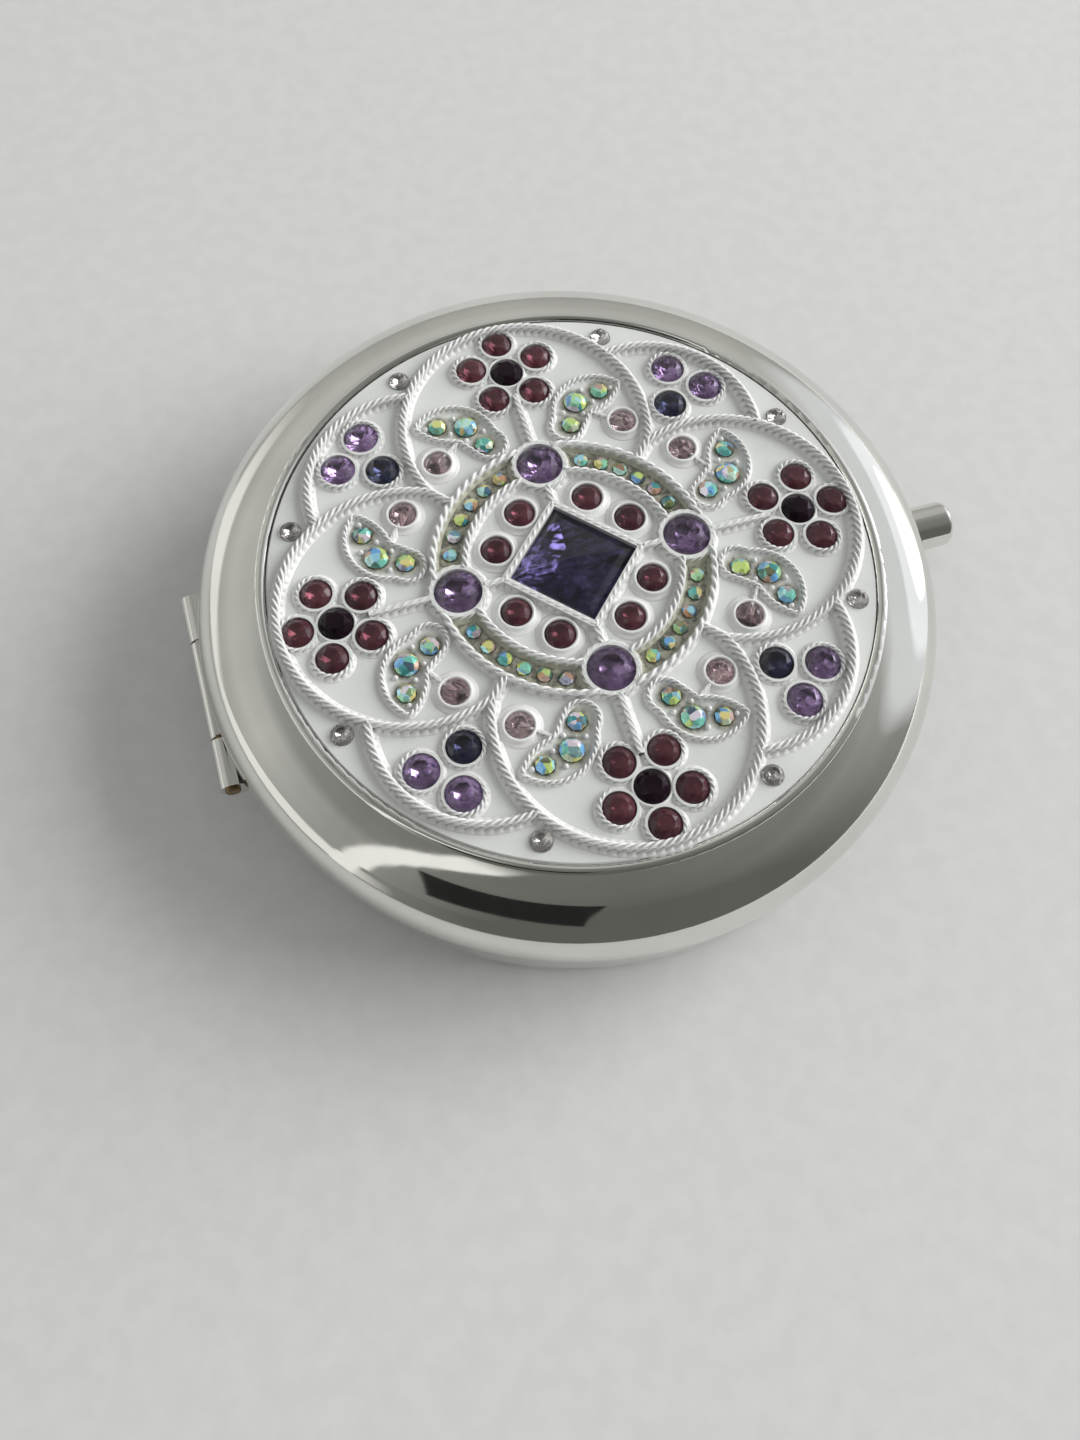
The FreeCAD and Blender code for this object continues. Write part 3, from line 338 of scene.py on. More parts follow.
# Bed colour on the walls of the channel, partly bare ground and partly painted shade: across it, up from the enamel,
# and how much higher it runs in a groove
WALL_STAIN_AND_SHADE, GROOVE_RISE = (1.25 * MM, 1.5 * MM), 0.65 * MM
WALL_HEIGHT = ((ENAMEL + 0.26) * MM, (ENAMEL + 0.42) * MM)
# Colours of the iridescent coating
AURORA = ((0.0, (0.05, 0.32, 0.33)), (0.16, (0.26, 0.72, 0.58)), (0.34, (0.62, 0.80, 0.24)),
          (0.46, (0.92, 0.78, 0.34)), (0.56, (0.50, 0.90, 0.90)), (0.74, (0.18, 0.46, 0.84)),
          (0.88, (0.62, 0.36, 0.20)), (0.96, (0.86, 0.80, 0.92)))
AURORA_DARK = (0.05, 0.07, 0.06)
# Silvery foil and its ripples, near-black glass and the plain metals
FOIL, FOIL_RIPPLE = (0.85, 0.83, 0.85), 0.35 * MM
JET, BRASS, STEEL = (0.012, 0.005, 0.010), (0.26, 0.18, 0.10), (0.56, 0.56, 0.55)
# Roughness, gloss and clearness of the stones, and of those that differ
CLEAR = (0.07, 0.5, 1.0)
OTHER_GLASS = {"flower_petal_stones": (0.13, 0.12, 0.72), "garnet_stones": (0.13, 0.2, 0.75),
               "centre_stone": (0.05, 0.25, 1.0)}


def finish(name, **values):
    """A node material with a Principled shader whose plain values are set on its sockets."""
    mat = bpy.data.materials.new(name)
    mat.use_nodes = True
    tree = mat.node_tree
    shader = tree.nodes["Principled BSDF"]
    for key, value in values.items():
        socket = shader.inputs[key.replace("_", " ").title() if key != "ior" else "IOR"]
        socket.default_value = (*value, 1) if socket.type == "RGBA" and len(value) == 3 else value
    return mat, tree, shader


def place(tree, scale=(1, 1, 1), turn=0.0):
    """Object coordinates through a Mapping node."""
    where = tree.nodes.new("ShaderNodeTexCoord")
    mapping = tree.nodes.new("ShaderNodeMapping")
    mapping.inputs["Scale"].default_value = scale
    mapping.inputs["Rotation"].default_value = (0, 0, turn)
    tree.links.new(where.outputs["Object"], mapping.inputs["Vector"])
    return mapping.outputs["Vector"]


def noise(tree, scale, detail=3.0, vector=None):
    """Noise value; scale in features per metre."""
    node = tree.nodes.new("ShaderNodeTexNoise")
    node.inputs["Scale"].default_value = scale
    node.inputs["Detail"].default_value = detail
    tree.links.new(vector if vector is not None else place(tree), node.inputs["Vector"])
    return node.outputs["Fac"]


def math_node(tree, operation, a, b=None, clamp=False):
    """Result of a Math node on sockets or plain numbers."""
    node = tree.nodes.new("ShaderNodeMath")
    node.operation = operation
    node.use_clamp = clamp
    for socket, value in zip(node.inputs, (a, b)):
        if value is None:
            continue
        if isinstance(value, (int, float)):
            socket.default_value = value
        else:
            tree.links.new(value, socket)
    return node.outputs[0]


def spread(tree, value, low, high, to_low, to_high):
    """Value carried from one range to another, held at its ends."""
    node = tree.nodes.new("ShaderNodeMapRange")
    for key, number in (("From Min", low), ("From Max", high), ("To Min", to_low), ("To Max", to_high)):
        node.inputs[key].default_value = number
    tree.links.new(value, node.inputs["Value"])
    return node.outputs["Result"]


def ramp(tree, value, stops):
    """Colour that runs smoothly through stops of position and colour as a value rises."""
    node = tree.nodes.new("ShaderNodeValToRGB")
    node.color_ramp.interpolation = "EASE"
    elements = node.color_ramp.elements
    while len(elements) < len(stops):
        elements.new(0.5)
    for element, (position, colour) in zip(elements, stops):
        element.position = position
        element.color = (*colour, 1)
    tree.links.new(value, node.inputs["Fac"])
    return node.outputs["Color"]


def mixed(tree, factor, a, b):
    """Colour a where factor is 0 and b where it is 1."""
    node = tree.nodes.new("ShaderNodeMix")
    node.data_type = "RGBA"
    tree.links.new(factor, node.inputs["Factor"])
    colours = [s for s in node.inputs if s.type == "RGBA"]
    for socket, value in zip(colours, (a, b)):
        if isinstance(value, bpy.types.NodeSocket):
            tree.links.new(value, socket)
        else:
            socket.default_value = (*value, 1)
    return next(s for s in node.outputs if s.type == "RGBA")


def bumped(tree, shader, height, distance, strength=1.0):
    """Bump on a shader's normal, with its height in metres given as distance."""
    node = tree.nodes.new("ShaderNodeBump")
    node.inputs["Strength"].default_value = strength
    node.inputs["Distance"].default_value = distance
    tree.links.new(height, node.inputs["Height"])
    tree.links.new(node.outputs["Normal"], shader.inputs["Normal"])


def clouded(tree, shader, value, dark, pale, low=NOISE_LOW, high=NOISE_HIGH):
    """Base colour that goes from dark to pale as a value goes from low to high."""
    tree.links.new(ramp(tree, value, ((low, dark), (high, pale))), shader.inputs["Base Color"])


def roughened(tree, shader, value, smooth, rough, low=NOISE_LOW, high=NOISE_HIGH):
    """Roughness that goes from smooth to rough as a value goes from low to high."""
    tree.links.new(spread(tree, value, low, high, smooth, rough), shader.inputs["Roughness"])


def shade(colour, factor):
    """A colour made darker or paler."""
    return tuple(c * factor for c in colour)


def polished_plate(colour):
    """Bright plate with a faint haze of handling marks."""
    mat, tree, shader = finish("polished_plate", metallic=1.0)
    haze = noise(tree, 90, 4)
    clouded(tree, shader, haze, shade(colour, 0.95), shade(colour, 1.04))
    marks = noise(tree, 700, 3, place(tree, (1, 0.25, 1), 0.4))
    roughened(tree, shader, math_node(tree, "MULTIPLY", haze, marks), 0.035, 0.075, 0.12, 0.4)
    bumped(tree, shader, marks, 0.004 * MM, 0.2)
    return mat


def satin_metal(name, colour, rough, grain, contrast):
    """Drawn metal: fine grain along one axis in colour and roughness."""
    mat, tree, shader = finish(name, metallic=1.0)
    lines = noise(tree, 90, 4, place(tree, grain))
    clouded(tree, shader, lines, shade(colour, 1 - contrast), shade(colour, 1 + contrast))
    roughened(tree, shader, lines, rough * 0.85, rough * 1.15)
    return mat


def leaf_fold(tree):
    """Object coordinates folded into one eighth of the rosette: the smaller and the larger of |x| and |y|,
    and with them the distance from the middle and the height."""
    where = tree.nodes.new("ShaderNodeTexCoord")
    split = tree.nodes.new("ShaderNodeSeparateXYZ")
    tree.links.new(where.outputs["Object"], split.inputs[0])
    x, y = (math_node(tree, "ABSOLUTE", split.outputs[k]) for k in (0, 1))
    radius = math_node(tree, "SQRT", math_node(tree, "ADD", math_node(tree, "MULTIPLY", x, x),
                                               math_node(tree, "MULTIPLY", y, y)))
    return math_node(tree, "MINIMUM", x, y), math_node(tree, "MAXIMUM", x, y), radius, split.outputs[2]


def near(tree, x, y, p):
    """Distance in the plane from a fixed point."""
    dx = math_node(tree, "SUBTRACT", x, p[0] * MM)
    dy = math_node(tree, "SUBTRACT", y, p[1] * MM)
    return math_node(tree, "SQRT", math_node(tree, "ADD", math_node(tree, "MULTIPLY", dx, dx),
                                             math_node(tree, "MULTIPLY", dy, dy)))


def enamel_ground(colour, bed):
    """Glossy pearl enamel, with bare grey ground in the ring channel and round the leaf stones."""
    mat, tree, shader = finish("pearl_enamel", coat_weight=0.6, coat_roughness=0.12)
    x, y, radius, z = leaf_fold(tree)
    close = [math_node(tree, "SUBTRACT", near(tree, x, y, p), p[2] * MM) for p in LEAF_STONES]
    leaf = math_node(tree, "MINIMUM", math_node(tree, "MINIMUM", close[0], close[1]), close[2])
    in_leaf = spread(tree, leaf, *LEAF_BARE, 1, 0)
    channel = math_node(tree, "ABSOLUTE", math_node(tree, "SUBTRACT", radius, CHANNEL_RAD * MM))
    in_ring = spread(tree, channel, *CHANNEL_BARE, 1, 0)
    low = spread(tree, z, *GROUND_BARE, 1, 0)
    bare = math_node(tree, "MULTIPLY", math_node(tree, "MAXIMUM", in_leaf, in_ring), low, True)
    cloud = noise(tree, 160, 3)
    ground = ramp(tree, cloud, ((NOISE_LOW, shade(colour, 0.95)), (NOISE_HIGH, shade(colour, 1.03))))
    speck = noise(tree, 1800, 2)
    bed_colour = ramp(tree, speck, ((0.35, shade(bed, 0.55)), (0.65, shade(bed, 1.5))))
    tree.links.new(mixed(tree, bare, ground, bed_colour), shader.inputs["Base Color"])
    roughened(tree, shader, cloud, 0.24, 0.36)
    bumped(tree, shader, noise(tree, 900, 2), 0.02 * MM, 0.25)
    return mat


def raised_enamel(colour, bed):
    """White enamel on ropes and collars, a little worn to grey in streaks, darkened down in the grooves as painted
    shade, and low on the walls of the ring channel given the bed colour, partly bare ground and partly painted shade."""
    mat, tree, shader = finish("raised_enamel", coat_weight=0.5, coat_roughness=0.1)
    cloud = noise(tree, 420, 3)
    unshaded_enamel = ramp(tree, cloud, ((0.3, shade(colour, 0.93)), (0.62, colour)))
    groove = tree.nodes.new("ShaderNodeAttribute")
    groove.attribute_name = "groove"
    depth = groove.outputs["Fac"]
    # Painted shade: the enamel darkens towards the bottom of each groove of the twist
    groove_shade = spread(tree, depth, 0.2, 0.8, 0, 0.9)
    shaded_grooves = mixed(tree, groove_shade, unshaded_enamel, shade(colour, 0.42))
    radius, z = leaf_fold(tree)[2:]
    channel = math_node(tree, "ABSOLUTE", math_node(tree, "SUBTRACT", radius, CHANNEL_RAD * MM))
    under = math_node(tree, "SUBTRACT", z, math_node(tree, "MULTIPLY", depth, GROOVE_RISE))
    low = spread(tree, under, *WALL_HEIGHT, 0.9, 0)
    # Bed colour low on the channel walls, partly bare ground and partly painted shade, reaching higher in the grooves
    bare = math_node(tree, "MULTIPLY", spread(tree, channel, *WALL_STAIN_AND_SHADE, 1, 0), low)
    tree.links.new(mixed(tree, bare, shaded_grooves, shade(bed, 1.6)), shader.inputs["Base Color"])
    roughened(tree, shader, cloud, 0.2, 0.32)
    bumped(tree, shader, noise(tree, 2600, 2), 0.01 * MM, 0.3)
    return mat


def crown_glass(name, colour, deep, rough, gloss, clear):
    """Coloured glass of the upper facets, a little dulled, clouded from one tint to a deeper one."""
    mat, tree, shader = finish(name, transmission_weight=clear, ior=1.58, roughness=rough)
    shader.inputs["Specular IOR Level"].default_value = gloss
    cloud = noise(tree, 260, 2)
    clouded(tree, shader, cloud, deep, colour, 0.35, 0.65)
    return mat


def jet_glass(name, colour):
    """Near-black glass that shows only a faint gloss on its facets."""
    mat, tree, shader = finish(name)
    shader.inputs["Specular IOR Level"].default_value = 0.2
    cloud = noise(tree, 500, 2)
    clouded(tree, shader, cloud, shade(colour, 0.5), colour)
    roughened(tree, shader, cloud, 0.1, 0.2)
    return mat


def back_foil(name, ripple):
    """Silvery foil behind a stone, with ripples of a given height."""
    mat, tree, shader = finish(name, metallic=1.0, roughness=0.16)
    clouded(tree, shader, noise(tree, 900, 2), shade(FOIL, 0.6), shade(FOIL, 1.3))
    if ripple:
        bumped(tree, shader, noise(tree, 380, 1, place(tree, (1, 2.2, 1), 0.5)), ripple)
    return mat


def aurora_glass(name):
    """Iridescent glass: each patch of a cell pattern takes one of the colours of a thin coating."""
    mat, tree, shader = finish(name, metallic=0.45, roughness=0.12, coat_weight=1.0, coat_roughness=0.03)
    cells = tree.nodes.new("ShaderNodeTexVoronoi")
    cells.inputs["Scale"].default_value = 1100
    tree.links.new(place(tree), cells.inputs["Vector"])
    split = tree.nodes.new("ShaderNodeSeparateColor")
    tree.links.new(cells.outputs["Color"], split.inputs[0])
    dark = spread(tree, split.outputs[1], 0.05, 0.25, 0.85, 0)
    patch = mixed(tree, dark, ramp(tree, split.outputs[0], AURORA), AURORA_DARK)
    tree.links.new(patch, shader.inputs["Base Color"])
    return mat


def dress(node, *materials):
    """Puts materials on a CAD node in place of its own."""
    mesh = NODES[node].data
    mesh.materials.clear()
    for material in materials:
        mesh.materials.append(material)
    return mesh


def dress_stone(node, crown, foil):
    """Crown glass above the girdle and foil below it."""
    mesh = dress(node, crown, foil)
    centres = np.empty(len(mesh.polygons) * 3)
    mesh.polygons.foreach_get("center", centres)
    below = centres.reshape(-1, 3)[:, 2] < GIRDLE_LOW * MM
    mesh.polygons.foreach_set("material_index", below.astype(np.int32))


# Pieces

class COMPACT_OT_case(Operator):
    """Finishes of the case, hinge and button"""

    bl_idname = "compact.case"
    bl_label = "Case, hinge and button"

    def execute(self, context):
        colours = context.scene.compact_colours
        plate = polished_plate(tuple(colours.metal))
        for node in ("lid_shell", "base_shell", "push_button"):
            dress(node, plate)
        satin = satin_metal("hinge_plate", shade(colours.metal, 0.96), rough=0.15, grain=(60, 4, 60), contrast=0.025)
        for node in ("base_hinge_leaf", "lid_hinge_leaf"):
            dress(node, satin)
        dress("hinge_pin", satin_metal("pin_brass", BRASS, rough=0.35, grain=(4, 60, 4), contrast=0.15))
        return {"FINISHED"}


class COMPACT_OT_inside(Operator):
    """Finishes of the mirrors, trays, tape and latch"""

    bl_idname = "compact.inside"
    bl_label = "Mirrors, trays and latch"

    def execute(self, context):
        tray, tree, shader = finish("silver_tray", metallic=0.6, coat_weight=0.3)
        cloud = noise(tree, 300, 4)
        clouded(tree, shader, cloud, (0.55, 0.55, 0.54), (0.60, 0.60, 0.585))
        roughened(tree, shader, cloud, 0.34, 0.40)
        bumped(tree, shader, noise(tree, 5000, 2), 0.01 * MM, 0.4)
        for node in ("base_tray", "lid_tray"):
            dress(node, tray)
        glass, tree, shader = finish("silvered_glass", metallic=1.0, coat_weight=1.0, coat_roughness=0.01)
        dust = noise(tree, 60, 5)
        clouded(tree, shader, dust, (0.86, 0.87, 0.87), (0.90, 0.91, 0.91))
        roughened(tree, shader, dust, 0.012, 0.05, 0.45, 0.8)
        for node in ("base_mirror", "lid_mirror"):
            dress(node, glass)
        tape, tree, shader = finish("foam_tape", roughness=0.8)
        cells = noise(tree, 2500, 2)
        clouded(tree, shader, cells, (0.62, 0.60, 0.54), (0.74, 0.72, 0.66))
        bumped(tree, shader, cells, 0.04 * MM, 0.5)
        for node in ("base_mirror_tape", "lid_mirror_tape", "plaque_adhesive"):
            dress(node, tape)
        steel = satin_metal("latch_steel", STEEL, rough=0.3, grain=(4, 50, 50), contrast=0.06)
        for node in ("latch_guide", "latch_slide", "lid_catch", "latch_spring"):
            dress(node, steel)
        return {"FINISHED"}


class COMPACT_OT_spring(Operator):
    """Coil spring behind the push-button, wound in the box of the solid spring, which it hides"""

    bl_idname = "compact.spring"
    bl_label = "Button spring"

    def execute(self, context):
        low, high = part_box("latch_spring")
        steel = bpy.data.materials["latch_steel"]
        spring = piece("button_spring", [coil(low, high, SPRING_WIRE, SPRING_TURNS)], steel, "base")
        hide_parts("latch_spring")
        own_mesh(spring)
        return {"FINISHED"}


class COMPACT_OT_ropes(Operator):
    """Enamel ground and the twisted main borders of the rosette"""

    bl_idname = "compact.ropes"
    bl_label = "Enamel and rope borders"

    def execute(self, context):
        sizes, colours = context.scene.compact_sizes, context.scene.compact_colours
        dress("plaque", enamel_ground(tuple(colours.enamel), tuple(colours.bed)))
        white = raised_enamel(tuple(colours.border), tuple(colours.bed))
        crest, height = sizes.rope_d / MM / 2, sizes.rope_height / MM
        foot = sizes.rope_foot / MM
        slim, steep = crest * RING_SLIM, foot * RING_STEEP
        collar, pitch = RING_STONE_R + RING_COLLAR_GAP, sizes.rope_pitch / MM

        def rope(points, thin=1.0):
            """A twisted ridge of full size, or a thinner one."""
            return ridge(points, False, crest * thin, height * thin, (foot, foot), pitch, ROPE_TWIST)

        rings, cells, lobes = [], [], []
        for a in AXES:
            for r, lay, strands in ((RING_OUT_R, sizes.ring_pitch, 2), (RING_IN_R, sizes.inner_pitch, 3)):
                cut = math.degrees(math.acos((r * r + RING_STONE_RAD ** 2 - collar ** 2) / (2 * r * RING_STONE_RAD)))
                curve = arc((0, 0), r, a + cut, a + 90 - cut)
                rings.append(ridge(curve, False, slim, height, (steep, steep), lay / MM, RING_TWIST, strands))
            around = ring(polar(RING_STONE_RAD, a), collar)
            rings.append(ridge(around, True, crest * RING_COLLAR_SLIM, height * RING_COLLAR_LOW,
                               (crest * RING_COLLAR_FOOT, steep), pitch, RING_COLLAR_TWIST, 3))
            corner = (SQUARE_HALF + FRAME_W) * math.sqrt(2)
            rings.append(rope(straight(polar(corner - SPOKE_LAP, a), polar(RING_STONE_RAD - collar, a)), SPOKE_THIN))
            cell, after = polar(CELL_RAD, a), polar(CELL_RAD, a + 90)
            knot = crossing(cell, CELL_R, after, CELL_R)
            half = (bearing(cell, knot) - a) % 360
            cells.append(rope(arc(cell, CELL_R, a - half, a + half)))
            lobe = polar(LOBE_RAD, a + 45)
            meet = crossing(lobe, LOBE_R, cell, CELL_R)
            wide = abs((bearing(lobe, meet) - a - 45 + 180) % 360 - 180)
            lobes.append(rope(arc(lobe, LOBE_R, a + 45 - wide, a + 45 + wide)))
            lobes.append(rope(straight(polar(RING_OUT_R, a + 45), knot)))
            stem = FLOWER_RAD - PETAL_RAD * math.cos(math.pi / PETALS) - STEM_LAP
            lobes.append(rope(straight(polar(RING_STONE_RAD + collar, a), polar(stem, a)), STEM_THIN))
        piece("ring_ropes", rings, white)
        piece("cell_ropes", cells, white)
        piece("lobe_ropes", lobes, white)
        return {"FINISHED"}


class COMPACT_OT_collars(Operator):
    """Collars of the stones, leaf borders and the frame of the square stone"""

    bl_idname = "compact.collars"
    bl_label = "Stone collars and leaves"

    def execute(self, context):
        sizes = context.scene.compact_sizes
        white = bpy.data.materials["raised_enamel"]
        crest, pitch, cup = sizes.collar_d / MM / 2, sizes.collar_pitch / MM, sizes.cup_d / MM / 2
        leaf_feet = (LEAF_FOOT, LEAF_FOOT)

        def twisted(centre, stone_r, outward):
            """A twisted collar whose size follows the cosine of the angle from outward, so it is thickest there."""
            points = ring(centre, stone_r + crest, outward, COLLAR_STEP)
            swell = COLLAR_MEAN + COLLAR_LEAN * np.cos(np.linspace(0, 2 * np.pi, len(points), endpoint=False))
            return ridge(points, True, crest, COLLAR_H, (crest, COLLAR_FOOT), pitch, FINE_TWIST, 2, swell)

        def plain(centre, stone_r):
            """A smooth collar: a ridge round the stone without a twist."""
            return ridge(ring(centre, stone_r + cup, 0, CUP_STEP), True, cup, CUP_H, (cup, CUP_FOOT))

        petals, trefoils, square, cups, leaves, beads = [], [], [], [], [], []
        for a in AXES:
            flower = polar(FLOWER_RAD, a)
            rim = ring(flower, FLOWER_CENTRE_R + CENTRE_CUP_GAP, 0, CUP_STEP)
            cups.append(ridge(rim, True, CENTRE_CUP_R, CENTRE_CUP_H, (CENTRE_CUP_R, CENTRE_CUP_FOOT)))
            for k in range(PETALS):
                outward = a + k * 360 / PETALS
                petals.append(twisted(flower + polar(PETAL_RAD, outward), PETAL_R, outward))
            trefoil = polar(TREFOIL_MIDDLE, a + 45)
            for s in (-1, 1):
                violet = polar(TREFOIL_VIOLET_RAD, a + 45 + s * TREFOIL_ANGLE)
                trefoils.append(twisted(violet, TREFOIL_VIOLET_R, bearing(trefoil, violet)))
                cups.append(plain(polar(GARNET_RAD, a + 45 + s * GARNET_ANGLE), GARNET_R))
            trefoils.append(twisted(polar(TREFOIL_DARK_RAD, a + 45), TREFOIL_DARK_R, a + 225))
            side = SQUARE_HALF + FRAME_W / 2
            edge = turned(straight((-FRAME_REACH, side), (FRAME_REACH, side)), 45 + a)
            square.append(ridge(edge, False, FRAME_CREST, FRAME_H, (FRAME_FOOT, FRAME_W / 2),
                                sizes.inner_pitch / MM, FRAME_TWIST, 2))
            outline = np.vstack([arc_through(p, via, q, LEAF_STEP)[:-1] for p, via, q in (
                (LEAF_TIP, LEAF_BACK, LEAF_SHOULDER), (LEAF_SHOULDER, LEAF_END, LEAF_HEEL),
                (LEAF_HEEL, LEAF_WAIST, LEAF_NOTCH), (LEAF_NOTCH, LEAF_FRONT, LEAF_TIP))])
            for flip in (False, True):
                path = turned(eased(outline), a, flip)
                leaves.append(ridge(path, True, crest * LEAF_THICK, LEAF_H, leaf_feet, pitch, FINE_TWIST, 2))
                for bead in turned(np.array(LEAF_BEADS), a, flip):
                    beads.append(dome(bead, BEAD_R, BEAD_H))
                stem = turned(straight(LEAF_NOTCH, BUD_POS, LEAF_STEP), a, flip)
                leaves.append(ridge(stem, False, crest, BUD_STEM_H, leaf_feet, pitch, BUD_STEM_TWIST, 2))
                cups.append(plain(turned(np.array([BUD_POS]), a, flip)[0], BUD_R))
        piece("petal_collars", petals, white)
        piece("trefoil_collars", trefoils, white)
        piece("square_frame", square, white)
        piece("plain_collars", cups, white)
        piece("leaf_borders", leaves, white)
        piece("leaf_beads", beads, white)
        return {"FINISHED"}


class COMPACT_OT_stones(Operator):
    """Glass and foil of the stones"""

    bl_idname = "compact.stones"
    bl_label = "Stones"

    def execute(self, context):
        colours = context.scene.compact_colours
        petal, violet, square = (tuple(c) for c in (colours.petal, colours.violet, colours.square))
        tints = {
            "flower_petal_stones": (petal, shade(petal, 0.65)),
            "garnet_stones": (petal, shade(petal, 0.6)),
            "trefoil_violet_stones": (shade(violet, 1.2), shade(violet, 0.7)),
            "trefoil_dark_stones": ((0.05, 0.06, 0.12), (0.03, 0.03, 0.07)),
            "ring_amethyst_stones": (violet, shade(violet, 0.6)),
            "bud_rose_stones": ((0.96, 0.76, 0.78), (0.82, 0.58, 0.62)),
            "border_clear_stones": ((0.86, 0.85, 0.82), (0.70, 0.69, 0.66)),
            "centre_stone": (square, shade(square, 0.5)),
        }
        for node, (light, deep) in tints.items():
            crown = crown_glass(node + "_glass", light, deep, *OTHER_GLASS.get(node, CLEAR))
            ripple = FOIL_RIPPLE if node == "centre_stone" else 0.0
            dress_stone(node, crown, back_foil(node + "_foil", ripple))
        dress("flower_centre_stones", jet_glass("jet_glass", JET))
        aurora = aurora_glass("aurora_glass")
        for node in ("ring_aurora_stones", "leaf_aurora_stones"):
            dress(node, aurora)
        return {"FINISHED"}


# Camera that sees the case as the photograph does: its own right, down and forward axes and its place
CAMERA_RIGHT = (0.95663, -0.28900, 0.03662)
CAMERA_DOWN = (-0.25693, -0.89625, -0.36155)
CAMERA_FORWARD = (0.13731, 0.33646, -0.93163)
CAMERA_PLACE = (-22.133, -49.521, ENAMEL + 96.08)
FOCAL_PIXELS, IMAGE_LONG, SENSOR = 1100.2, 1440, 36.0
# Room that metal and glass show: brightness by height, the dim near side, a pale far band low on the left,
# an upright strip light, a dark card beside the camera, and the window with its glow and bright pane
ROOM_HEIGHTS = ((0.0, (0.40, 0.40, 0.38)), (0.3, (0.46, 0.46, 0.44)), (0.55, (0.54, 0.54, 0.52)),
                (0.75, (0.50, 0.50, 0.48)), (0.9, (0.30, 0.30, 0.29)), (1.0, (0.22, 0.22, 0.21)))
NEAR_SIDE, ROOM_DIM = (0.05, -1.0, 0.25), (0.13, 0.13, 0.12)
BAND_SIDE, BAND_HEIGHT, ROOM_BAND = (-0.94, 0.34, 0.0), 0.16, (0.90, 0.90, 0.87)
STRIP_SIDE, ROOM_STRIP = (-0.92, -0.39, 0.0), (0.95, 0.95, 0.92)
GLOW_SIDE, ROOM_GLOW = (0.90, 0.27, 0.33), (0.74, 0.76, 0.78)
WINDOW_SIDE, ROOM_WINDOW = (0.93, 0.28, 0.18), (1.03, 1.05, 1.10)
PANE_SIDE, PANE_GAIN = (0.93, 0.29, 0.14), 4.0
CARD_SIDE, CARD_SIZE, ROOM_CARD = (-0.32, -0.56, 0.76), (0.26, 0.17), (0.02, 0.02, 0.02)
# Cosines of a ray's turn towards each of these, where it begins and where it is full
NEAR_TURN, BAND_TURN, STRIP_TURN, CARD_TURN = (-0.1, 0.8), (0.55, 0.75), (0.05, 0.15), (0.5, 0.6)
GLOW_TURN, WINDOW_TURN, PANE_TURN = (0.855, 0.905), (0.940, 0.955), (0.982, 0.999)
# Half-width and soft edge of the band and the strip, and soft edge of the card
BAND_EDGE, STRIP_EDGE, CARD_SOFT = (0.10, 0.05), (0.045, 0.02), 0.012
# Lamp in metres: its place and its two sides
LAMP_PLACE, LAMP_SIZE = (1.576, 0.055, 0.65), (1.66, 1.23)
# Brightness of the backdrop
BACKDROP = 0.8
# Table in metres: half its side, points along a side, and where it starts and ends to fade to the backdrop
TABLE_HALF, TABLE_POINTS, TABLE_FADE = 1.5, 9, (0.22, 0.75)
# Nearest distance that the camera shows, in metres
NEAR_CLIP = 0.005


